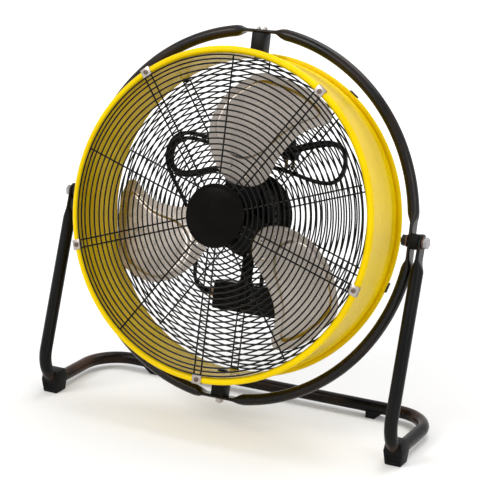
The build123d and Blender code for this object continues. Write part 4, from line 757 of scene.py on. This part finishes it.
class Tube:
    def __init__(self, radius, start, sides=24):
        self.mesh = bmesh.new()
        made = bmesh.ops.create_circle(self.mesh, segments=sides, radius=radius, matrix=start)
        self.ring, self.loop = made["verts"], self.mesh.edges[:]

    def run(self, step):
        self.ring, self.loop = extruded(self.mesh, self.loop)
        bmesh.ops.translate(self.mesh, vec=step, verts=self.ring)

    def bend(self, centre, axis, angle, steps):
        last = self.ring + self.loop
        made = bmesh.ops.spin(
            self.mesh, geom=last, cent=centre, axis=axis, angle=radians(angle), steps=steps
        )
        self.ring, self.loop = ring_of(made["geom_last"])


# %% [markdown]
# Half of the stand is grown from the middle of the crossbar: a run, the rear bend, the floor rail,
# the front bend and the leg, whose end is pressed flat and rounded. Then it is mirrored.

# %% Stand
STAND_TUBE = 11.0
LEG_FLAT_WIDTH = 28.0
RAIL_HEIGHT = 18.8
FRONT_REACH = 120.6
FRONT_Y = AXIS_Y - FRONT_REACH
REAR_Y = AXIS_Y + 94.9
HALF_WIDTH = 332.0
REAR_BEND = 66.0
FRONT_BEND = 50.0
LEG_STEPS = (52, 49, 46, 43, 40, 37, 34, 31, 28, 26, 10, 0, -4, -7, -9.5, -11.5, -12.9, -13.8)
LEG_ROUND = 14.0
LEAN = atan2(FRONT_REACH, AXIS_HEIGHT - RAIL_HEIGHT)
LEG = Vector((0, sin(LEAN), cos(LEAN)))
LEG_PIVOT = Vector((HALF_WIDTH, AXIS_Y, AXIS_HEIGHT))


def stand_half():
    tube = Tube(STAND_TUBE, Matrix.Translation((0, REAR_Y, RAIL_HEIGHT)) @ SIDEWAYS)
    tube.run((HALF_WIDTH - REAR_BEND, 0, 0))
    tube.bend((HALF_WIDTH - REAR_BEND, REAR_Y - REAR_BEND, 0), (0, 0, 1), -90, 16)
    front_start = FRONT_Y + FRONT_BEND / cos(LEAN) * (1 + sin(LEAN))
    tube.run((0, front_start - (REAR_Y - REAR_BEND), 0))
    bend_height = RAIL_HEIGHT + FRONT_BEND
    tube.bend((0, front_start, bend_height), (1, 0, 0), -(90 + LEAN * 180 / pi), 20)
    back, up = FRONT_BEND * cos(LEAN), FRONT_BEND * sin(LEAN)
    below = (LEG_PIVOT - Vector((HALF_WIDTH, front_start - back, bend_height + up))).length
    for height in LEG_STEPS:
        tube.run(LEG * (below - height))
        below = height
    bmesh.ops.contextual_create(tube.mesh, geom=tube.loop)
    return tube.mesh


# %% The leg's flat end, and the other half
def stand_tube():
    mesh = stand_half()
    across, wide = Vector((1, 0, 0)), Vector((0, cos(LEAN), -sin(LEAN)))
    for spot in mesh.verts:
        reach = spot.co - LEG_PIVOT
        height = -reach.dot(LEG)
        if height < 53 and spot.co.z > 100:
            share = eased((49.0 - height) / 23.0)
            u, v = pressed(reach.dot(across), reach.dot(wide), STAND_TUBE, LEG_FLAT_WIDTH, share)
            if height < 0:
                v *= sqrt(max(1 - (height / LEG_ROUND) ** 2, 0.0))
            spot.co = LEG_PIVOT - LEG * height + across * u + wide * v
    everything = mesh.verts[:] + mesh.edges[:] + mesh.faces[:]
    bmesh.ops.mirror(mesh, geom=everything, merge_dist=0.01, axis="X")
    return mesh


on_stand("stand_tube", stand_tube(), "black_tube", "stand_frame", edge=50, finish="floor_tube")

# %% [markdown]
# The front feet are moulded blocks that swell to a shoulder and have a sunken panel, which two
# insets make. The rear ones are wedges under the crossbar.

# %% Front feet
FOOT_Y = AXIS_Y - 72.4
FOOT_HALF = (14.0, 14.5)
FOOT_HEIGHT = 40.0
SHOULDER_HEIGHT = 24.0
SHOULDER = 2.5


def front_foot_block(side):
    mesh = bmesh.new()
    x = side * HALF_WIDTH
    low = (x - FOOT_HALF[0], FOOT_Y - FOOT_HALF[1], 0)
    block(mesh, low, (x + FOOT_HALF[0], FOOT_Y + FOOT_HALF[1], FOOT_HEIGHT))
    upright = [e for e in mesh.edges if abs(e.verts[0].co.z - e.verts[1].co.z) > 1]
    bmesh.ops.subdivide_edges(mesh, edges=upright, cuts=1, use_grid_fill=True)
    for spot in mesh.verts:
        if 1 < spot.co.z < FOOT_HEIGHT - 1:
            spot.co.z = SHOULDER_HEIGHT
            spot.co.x += SHOULDER if spot.co.x > x else -SHOULDER
            spot.co.y += SHOULDER if spot.co.y > FOOT_Y else -SHOULDER
    bmesh.ops.recalc_face_normals(mesh, faces=mesh.faces)
    lower = [f for f in mesh.faces if abs(f.normal.z) < 0.3 and f.calc_center_median().z < 20]
    front = [min(lower, key=lambda face: face.calc_center_median().y)]
    for border, depth in ((5.5, 0.0), (0.8, -3.5)):
        bmesh.ops.inset_individual(
            mesh, faces=front, thickness=border, depth=depth, use_even_offset=True
        )
    return rounded(mesh, mesh.edges[:], 1.5, clamp=True)


# %% Rear feet
WEDGE_INNER = 208.3
WEDGE_DEPTH = 23.6
WEDGE = [(0, 0), (17.0, 0), (34.0, 15.0), (0, 15.0)]


def rear_foot_wedge(side):
    mesh = bmesh.new()
    front = REAR_Y - WEDGE_DEPTH / 2
    face = mesh.faces.new([mesh.verts.new((side * (WEDGE_INNER + x), front, z)) for x, z in WEDGE])
    made = bmesh.ops.extrude_face_region(mesh, geom=[face])["geom"]
    bmesh.ops.translate(mesh, vec=(0, WEDGE_DEPTH, 0), verts=points_of(made))
    return rounded(mesh, mesh.edges[:], 1.2)


for side, word in ((1, "_right"), (-1, "_left")):
    front, rear = front_foot_block(side), rear_foot_wedge(side)
    on_stand("front_foot_block" + word, front, "black_plastic", "front_foot" + word)
    on_stand("rear_foot_wedge" + word, rear, "black_plastic", "rear_foot" + word)

# %% [markdown]
# The pivots: a black spacer between hoop and leg and a washer each side, spun about the tilt axis.
# The bolt keeps its CAD shape.


# %% Pivot spacers and washers
def pivot_ring(outside, low, high, side, edge):
    section = [(5.1, low), (5.1, high), (outside - edge, high), (outside, high - edge)]
    section += [(outside, low + edge), (outside - edge, low)]
    return moved(spun(section, 40), Matrix.Scale(side, 4, (1, 0, 0)) @ SIDEWAYS)


def pivot_rings(outside, edge, *places):
    return joined([pivot_ring(outside, *place, side, edge) for place in places for side in (1, -1)])


spacers = pivot_rings(13.0, 0.8, (315.0, 329.2))
on_stand("pivot_spacer_rings", spacers, "black_plastic", "pivot_spacers", place=PIVOT)
washers = pivot_rings(10.5, 0.4, (334.8, 336.8), (307.0, 309.0))
on_stand("pivot_washer_rings", washers, "zinc", "pivot_washers", place=PIVOT, finish="rusty")

# %% [markdown]
# Each blade is a pressed sheet. Its outline is a closed curve through a few points, and the flat
# blade is then bowed and pitched as the spider holds it.

# %% Blade outline
BLADE_OUTLINE = [
    (-22, 59), (-39, 79), (-51, 104), (-57, 140), (-52, 170), (-40, 197), (-14, 225), (14, 242.2),
    (42, 239.2), (67, 233.4), (91, 225.2), (115, 213.5), (134, 198), (142.5, 183), (137, 172),
    (116, 163), (89, 146), (73, 127), (60, 106), (51, 85), (43, 66), (28, 54), (10, 50), (-8, 52),
]
BLADE_TURN = radians(14.24)
BLADE_SHIFT = 44.0
BLADE_LIFT = 18.8
CAMBER = 9.0
CAMBER_RADIUS = 101.0 ** 2 / (2 * CAMBER) + CAMBER / 2


def outline_loop(points, resolution=5):
    data = bpy.data.curves.new("outline", "CURVE")
    spline = data.splines.new("BEZIER")
    spline.bezier_points.add(len(points) - 1)
    for spot, (x, y) in zip(spline.bezier_points, points):
        spot.co = (x, y, 0)
        spot.handle_left_type = spot.handle_right_type = "AUTO"
    spline.use_cyclic_u = True
    spline.resolution_u = resolution
    return evaluated(linked("outline", data))


def bowed(x, y, lift=0.0):
    """Where a point of the flat blade goes on the bowed and pitched one."""
    s = x / cos(BLADE_TURN) - BLADE_SHIFT
    for _ in range(3):
        bow = CAMBER_RADIUS - CAMBER - sqrt(CAMBER_RADIUS ** 2 - s * s)
        s = (x - bow * sin(BLADE_TURN)) / cos(BLADE_TURN) - BLADE_SHIFT
    z = BLADE_LIFT - (s + BLADE_SHIFT) * sin(BLADE_TURN) + bow * cos(BLADE_TURN)
    return Vector((x, y, z + lift))


# %% [markdown]
# A blade's middle is a raised panel. Copies of the outline, drawn in towards the panel's own
# outline and then its middle, give border, step and panel. Solidify gives the thickness.

# %% Blade with its pressed panel
PANEL_OUTLINE = [
    (-22, 103), (-33, 112), (-41, 124), (-47, 144), (-43, 168), (-32, 191), (-9, 214), (16, 229),
    (40, 227), (63, 221.5), (85, 213.5), (104, 203), (117, 193), (121, 186), (115, 180), (101, 173),
    (79, 161), (60, 144), (46, 127), (34, 114), (22, 105), (9, 99), (-3, 97), (-13, 99),
]
BORDER_STEPS = [(0.04, 0.0), (0.30, 0.0), (0.60, 0.0), (0.88, 0.0), (0.97, 0.2)]
PANEL_STEPS = [(1.0, 0.9), (0.975, 2.5), (0.95, 3.3)]
PANEL_STEPS += [(share, 3.5) for share in (0.92, 0.80, 0.66, 0.50, 0.34, 0.18)]
PANEL_MIDDLE = Vector((38.0, 166.0, 0.0))


def blade_rings(edge, panel):
    rings = [([e.lerp(p, t) for e, p in zip(edge, panel)], rise) for t, rise in BORDER_STEPS]
    return rings + [([PANEL_MIDDLE.lerp(p, t) for p in panel], rise) for t, rise in PANEL_STEPS]


def blade_sheet():
    guide = outline_loop(PANEL_OUTLINE)
    panel = [spot.co.copy() for spot in guide.verts]
    guide.free()
    mesh = outline_loop(BLADE_OUTLINE)
    number = mesh.verts.layers.int.new("number")
    height = mesh.verts.layers.float.new("height")
    edge = [spot.co.copy() for spot in mesh.verts]
    for index, spot in enumerate(mesh.verts):
        spot[number] = index
    loop = mesh.edges[:]
    for places, rise in blade_rings(edge, panel):
        ring, loop = extruded(mesh, loop)
        for spot in ring:
            spot.co = places[spot[number]]
            spot[height] = rise
    bmesh.ops.contextual_create(mesh, geom=loop)
    for spot in mesh.verts:
        spot.co = bowed(spot.co.x, spot.co.y, spot[height])
    bmesh.ops.recalc_face_normals(mesh, faces=mesh.faces)
    return mesh


# %% The three blades
BLADE_ANGLES = [0.0, 120.0, 240.0]
for number, turn in enumerate(BLADE_ANGLES, 1):
    sheet = moved(blade_sheet(), clockwise(turn))
    name = f"blade_{number}"
    blade = on_head(f"blade_sheet_{number}", sheet, "blade", name, body="impeller", edge=60)
    modifier(blade, "SOLIDIFY", thickness=0.0015, offset=0.0)

# %% [markdown]
# The spider carries the blades: a turned hub and three arms of thicker sheet, pressed to the
# blades' own curve so that they lie flat against their backs. They are drawn like the blades.

# %% Spider
SPIDER_ARM = [(-14, 12), (26, 12), (36, 58), (40, 82), (20, 96), (-10, 98), (-28, 86), (-24, 58)]
ARM_MIDDLE = Matrix.Translation((-6, -60, 0))
ARM_SHEET = 3.0
ARM_LIFT = -0.75
HUB_SECTION = [(6.3, -2.5), (22.8, -2.5), (24, -1.3), (24, 29.0), (23.2, 31.0), (21.0, 32)]
HUB_SECTION += [(12, 32), (6.3, 32)]


def spider_arm():
    mesh = outline_loop(SPIDER_ARM, 8)
    loop = mesh.edges[:]
    size = 1.0
    for share in (0.97, 0.85, 0.65, 0.45, 0.25):
        ring, loop = extruded(mesh, loop)
        keep = (share / size, share / size, 1.0)
        bmesh.ops.scale(mesh, vec=keep, verts=ring, space=ARM_MIDDLE)
        size = share
    bmesh.ops.contextual_create(mesh, geom=loop)
    for spot in mesh.verts:
        spot.co = bowed(spot.co.x, spot.co.y, ARM_LIFT)
    bmesh.ops.recalc_face_normals(mesh, faces=mesh.faces)
    if sum(face.normal.z for face in mesh.faces) < 0:
        bmesh.ops.reverse_faces(mesh, faces=mesh.faces)
    bmesh.ops.solidify(mesh, geom=mesh.faces[:], thickness=ARM_SHEET)
    return mesh


hub = joined([spun(HUB_SECTION, 48), copied_round(spider_arm(), BLADE_ANGLES)])
on_head("spider_hub_arms", hub, "black_hub", "impeller_spider", body="impeller", edge=40)

# %% [markdown]
# Three domed rivets hold each blade. One profile is spun and set square to the bowed sheet, whose
# slope is read from two points beside it.

# %% Rivets
RIVETS = [(6, 66), (-17, 84), (29, 81)]
RIVET_SECTION = [
    (0, 1.7), (1.4, 1.6), (2.7, 1.15), (3.6, 0.45), (4.0, -0.1),
    (2.5, -0.2), (2.5, -4.4), (3.7, -4.4), (3.4, -5.1), (0, -5.5),
]


def rivet_at(x, y):
    spot, ahead = bowed(x, y), bowed(x + 1, y) - bowed(x - 1, y)
    out = ahead.cross(Vector((0, 1, 0))).normalized()
    place = Matrix.Translation(spot + out * 0.75) @ out.to_track_quat("Z", "Y").to_matrix().to_4x4()
    return moved(spun(RIVET_SECTION, 20, closed=False), place)


rivets = copied_round(joined([rivet_at(x, y) for x, y in RIVETS]), BLADE_ANGLES)
on_head("blade_rivet_heads", rivets, "rivet", "blade_rivets", body="impeller")

# %% [markdown]
# A washer and a hexagon nut hold the spider on the shaft. A hexagon is a six-sided bar with its
# edges eased.


# %% Hub nut and washer
def hexagon(mesh, across, low, high, soften=0.6):
    place = Matrix.Translation((0, 0, (low + high) / 2))
    made = bar(mesh, place, 6, across / sqrt(3), high - low)
    return rounded(mesh, edges_at(made), soften)


washer = spun([(5.3, 32), (10, 32), (10, 33.6), (9.6, 34), (5.3, 34)], 36)
on_head("hub_nut_washer", hexagon(washer, 17.0, 34.0, 42.0), "zinc", "hub_nut", body="impeller")

# %% [markdown]
# The motor is a drawn cup, with a ring of vents cut in one go, and a pressed front cover. The plate
# behind closes the middle of the guard, with a rubber grommet for the motor's lead.

# %% Motor
VENTS = 30
CUP = [
    (7, -51.4), (60.4, -51.4), (62, -49.8), (62, -24.6), (61.2, -24.0), (61.2, -22.6), (62, -22.0),
    (62, -11.0), (61, -10), (59, -10), (59, -47.4), (18, -47.4), (18, -39.4), (14, -39.4),
    (14, -47.3), (7, -47.3),
]
COVER = [
    (7, -6.0), (21, -6.0), (22.5, -7.2), (47, -7.2), (49, -6.0), (59.6, -6.0), (61.4, -6.8),
    (62, -8.4), (62, -9.9), (18, -9.9), (18, -18), (14, -18), (14, -10.4), (7, -10.4),
]
PLATE = [(0, -54.4), (73.8, -54.4), (75, -53.6), (75, -52.2), (73.8, -51.4), (0, -51.4)]
GROMMET_PLACE = Matrix.Translation((22.0, -66.0, 0))


def motor_cup():
    vents = block(bmesh.new(), (-2.6, 57.0, -19.6), (2.6, 64.0, -13.0), 1.0)
    copied_round(vents, [360.0 / VENTS * i for i in range(VENTS)])
    return cut_out(spun(CUP, 120), vents)


on_head("motor_cup", motor_cup(), "black_motor", "motor_housing")
on_head("motor_cover", spun(COVER), "black_motor", "motor_front_cover")
grommet = moved(spun(arc(5.4, -54.9, 1.5, 0, 315, 7), 28), GROMMET_PLACE)
plate = joined([spun(PLATE, closed=False), grommet])
on_head("motor_mounting_plate", plate, "black_sheet", "motor_plate")

# %% [markdown]
# A ribbed rubber sleeve keeps the cord from kinking at the gland, and another at the plug. Each is
# spun straight, and its points are carried along a line read from the cord's own spline.


# %% Following the cord
def cord_line():
    bare = mains_cord.data.copy()
    bare.bevel_depth = 0.0
    bare.resolution_u = 12
    mesh = evaluated(linked("line", bare))
    back = HEAD.inverted()
    points = [back @ spot.co for spot in mesh.verts]
    mesh.free()
    return points


def carried(mesh, points):
    reach = [0.0]
    for first, second in zip(points, points[1:]):
        reach.append(reach[-1] + (second - first).length)
    for spot in mesh.verts:
        height = min(max(spot.co.z, 0.0), reach[-1] - 0.01)
        index = max(i for i, length in enumerate(reach[:-1]) if length <= height)
        along = points[index + 1] - points[index]
        centre = points[index] + along * ((height - reach[index]) / along.length)
        nearby = points[min(index + 2, len(points) - 1)] - points[max(index - 1, 0)]
        turn = nearby.to_track_quat("Z", "X").to_matrix()
        extra = nearby.normalized() * (spot.co.z - height)
        spot.co = centre + extra + turn @ Vector((spot.co.x, spot.co.y, 0))
    return mesh


# %% A ribbed sleeve
def sleeve(length, thick, thin, ribs):
    section = [(3.2, 0.0), (thick, 0.0)]
    for i in range(1, ribs + 1):
        low, high = length * (i - 0.55) / ribs, length * (i - 0.1) / ribs
        radius = thick + (thin - thick) * i / ribs
        section += [(radius + 0.2, low), (radius - 0.7, low + 0.4)]
        section += [(radius - 0.7, high - 0.4), (radius + 0.1, high)]
    return spun(section + [(thin, length), (3.4, length)], 28)


# %% [markdown]
# The gland is a brass hexagon with a domed nut, screwed into the left wall of the switch box.

# %% Gland and its sleeve
GLAND_DOME = [(3.6, 67.0), (8.9, 67.0), (9.0, 67.5), (9.0, 72.0), (8.4, 73.6), (7.0, 75.2)]
GLAND_DOME += [(5.6, 76.0), (3.6, 76.0)]
LEFT_WALL = Matrix.Translation((0, BOX_LEFT.y, BOX_LEFT.z)) @ Matrix.Rotation(-pi / 2, 4, "Y")
SLEEVE = 26.0

gland = joined([hexagon(bmesh.new(), 20.0, 62.0, 67.0, 0.8), spun(GLAND_DOME, 36)])
on_head("gland_cap", moved(gland, LEFT_WALL), "brass", "cable_gland")
line = cord_line()
from_gland = [point for point in line if point.x < -74.0 or point.y > -140]
relief = carried(sleeve(SLEEVE, 6.0, 4.4, 6), from_gland)
on_head("gland_sleeve", relief, "black_plastic")

# %% [markdown]
# The plug's body is a rounded block, tapered towards the pins, with four grip ridges and a neck.

# %% Plug
GRIPS = (107.0, 110.5, 114.0, 117.5)

plug = block(bmesh.new(), (-13, 101, -10), (13, 127.5, 10), 3.4, segments=3)
for spot in plug.verts:
    spot.co.x *= 1.0 - 0.16 * eased((spot.co.y - 108) / 18.0)
for height in GRIPS:
    block(plug, (-12.4, height, -10.5), (12.4, height + 1.3, 10.5), 0.5)
moved(plug, Matrix.Translation((PLUG_END.x, 0, PLUG_END.z)))
neck_ends = [PLUG_END + Vector((0, y, 0)) for y in (-8.6, 0.4)]
neck = rod(bmesh.new(), *neck_ends, 7.2, 28)
plug = joined([plug, neck, carried(sleeve(SLEEVE, 5.8, 4.2, 7), line[::-1])])
plug_shell = on_head("plug_shell", plug, "black_plastic", "plug_body")

# %% [markdown]
# The speed knob sits on the back of the switch box: a skirt, a grip with a pointer, and four plain
# numbers on the lid for off and three speeds, which are text turned into a mesh.

# %% Knob
KNOB_PLACE = Vector((30, -146, -97.9))
KNOB = [(0, 15), (8.4, 15), (9.6, 14.2), (9.9, 13.0), (9.9, 4.6), (14.4, 4.0), (16, 2.8), (16, 0)]

knob = spun(KNOB + [(0, 0)], 48, closed=False)
block(knob, (-3, -9.4, 4.2), (3, 15.2, 14.9), 0.9)
moved(knob, Matrix.Translation(KNOB_PLACE) @ TURNED_OVER)
on_head("speed_knob_grip", knob, "black_plastic", "speed_knob", body="speed_knob")


# %% Dial numbers
def numeral(text, place):
    data = bpy.data.curves.new("numeral", "FONT")
    data.body, data.size, data.extrude = text, 5.6, 0.12
    data.align_x, data.align_y = "CENTER", "CENTER"
    mesh = evaluated(linked("numeral", data))
    return moved(mesh, place @ Matrix.Rotation(pi, 4, "Y"))


marks = []
for number, turn in enumerate((0.0, 45.0, 90.0, 135.0)):
    away = (21.5 * sin(radians(turn)), 20.6 * cos(radians(turn)), 0.9)
    marks.append(numeral(str(number), Matrix.Translation(KNOB_PLACE + Vector(away))))
on_head("dial_numbers", joined(marks), "capacitor_plastic")

# %% [markdown]
# Two folded box brackets join drum and hoop, each of five sheet walls with their edges eased.
# Inside the drum the low round heads of their bolts show, spun once and copied.

# %% Low bolt heads inside the drum
LOW_HEAD = [(0, 3), (4, 2.85), (7.2, 2.2), (8.6, 1.1), (9, 0.0), (3, 0.0), (3, -9.0), (0, -9.0)]
INWARDS = Matrix.Translation((0, BORE, HOOP_Z)) @ Matrix.Rotation(pi / 2, 4, "X")

low_head = moved(spun(LOW_HEAD, 32, closed=False), INWARDS)
on_head("low_bolt_heads", copied_round(low_head, [0.0, 180.0]), "black_sheet", "drum_bolts")

# %% The brackets between drum and hoop
BRACKET_WALLS = [
    ((-12, 269.5, 3.6), (12, 309.0, 5.6)), ((-12, 269.5, -18.4), (-10, 309.0, 5.0)),
    ((10, 269.5, -18.4), (12, 309.0, 5.0)), ((-11, 307.2, -18.4), (11, 309.2, 4.4)),
    ((-11, 269.6, -18.4), (11, 271.6, 4.4)),
]
for word, turn in (("top", 0.0), ("bottom", pi)):
    bracket = bmesh.new()
    for low, high in BRACKET_WALLS:
        block(bracket, low, high, 0.5, Matrix.Rotation(turn, 4, "Z"))
    on_head(word + "_bracket_box", bracket, "black_sheet", word + "_bracket")

# %% [markdown]
# Small folded, turned and hexagonal parts keep their CAD shape. Two modifiers ease their edges:
# Weld joins the loose triangles, and Bevel rounds only edges sharper than a drawn circle's flats.

# %% Finish and rounding of the CAD nodes that stay
KEPT_NODES = {
    "bright_head": {"pivot_bolts": 0.8},
    "dark_zinc": {"pivot_nuts": 0.6},
    "zinc": {
        "bracket_bolts": 0.4, "bracket_nuts": 0.4, "drum_nuts": 0.4, "strap_screws": 0.3,
        "lid_screws": 0.3, "motor_bolts": 0.4,
    },
    "black_sheet": {"box_strap": 0.5, "switch_box": 0.9, "switch_box_lid": 0.6},
    "bearing_steel": {"motor_bearings": 0, "motor_shaft": 0, "shaft_sleeves": 0},
    "lamination": {"stator_core": 0},
    "rotor_aluminium": {"rotor": 0},
    "copper": {"stator_windings": 0},
    "capacitor_plastic": {"capacitor": 0.8},
    "switch_plastic": {"rotary_switch": 0.5},
    "brass": {"plug_pins": 0.25},
    "black_plastic": {"cord_tie": 0.5},
    "cord": {"motor_lead": 0},
}
SHARP = {"segments": 2, "limit_method": "ANGLE", "angle_limit": radians(40)}
for finish, widths in KEPT_NODES.items():
    for name, width in widths.items():
        nodes[name].data.materials.clear()
        nodes[name].data.materials.append(FINISHES[finish])
        if width:
            modifier(nodes[name], "WELD", merge_threshold=0.00001)
            modifier(nodes[name], "BEVEL", width=width / 1000, **SHARP)

# %% [markdown]

# %% [markdown]
# A photograph on white has a pure white background without more light on the object, so the floor
# glows for the rays that see it directly or in a gloss, and least near the fan, to keep the shadow.

# %% Floor
floor_mesh = bmesh.new()
bmesh.ops.create_grid(floor_mesh, x_segments=1, y_segments=1, size=15.0)
floor = as_object("floor", floor_mesh)
pale = Finish("floor")
away = pale.node("VectorMath", {"operation": "LENGTH"}, {0: pale.place}, "Value")
glow = pale.between(away, 0.3, 2.6, 0.10, 0.62) * pale.seen_directly()
tone = pale.between(pale.noise(3.0), 0.3, 0.7)
pale.set(
    Base_Color=pale.blend(tone, colour(0.86, 0.86, 0.86), colour(0.88, 0.88, 0.88)),
    Roughness=0.9,
    Specular_IOR_Level=0.0,
    Emission_Color=pale.blend(glow, colour(0, 0, 0), colour(1, 1, 1)),
    Emission_Strength=1.0,
)
floor.data.materials.append(FINISHES["floor"])

# %% [markdown]
# Soft light comes from large lamps, left in front, right and above, and from a pale world that
# fills the shadows and is brighter where it is seen directly.

# %% Lamps and world
AIM = Vector((0, 0, 0.35))


def lamp(name, place, size, power):
    data = bpy.data.lights.new(name, "AREA")
    data.shape = "DISK"
    data.size = size
    data.energy = power
    obj = linked(name, data)
    obj.location = place
    obj.rotation_euler = (AIM - Vector(place)).to_track_quat("-Z", "Y").to_euler()


lamp("key", (-1.6, -2.6, 2.6), 1.6, 55.0)
lamp("fill", (2.8, -1.4, 1.6), 1.8, 22.0)
lamp("top", (0.4, 0.9, 3.0), 2.0, 40.0)

world = bpy.data.worlds.new("studio")
sky = Nodes(world)
background = sky.tree.nodes["Background"]
levels = {"Value": sky.seen_directly(), "To Min": 0.62, "To Max": 1.0}
sky.feed(background.inputs["Color"], colour(1, 1, 1))
sky.feed(background.inputs["Strength"], sky.node("MapRange", None, levels))
bpy.context.scene.world = world
bpy.context.scene.view_settings.view_transform = "Standard"
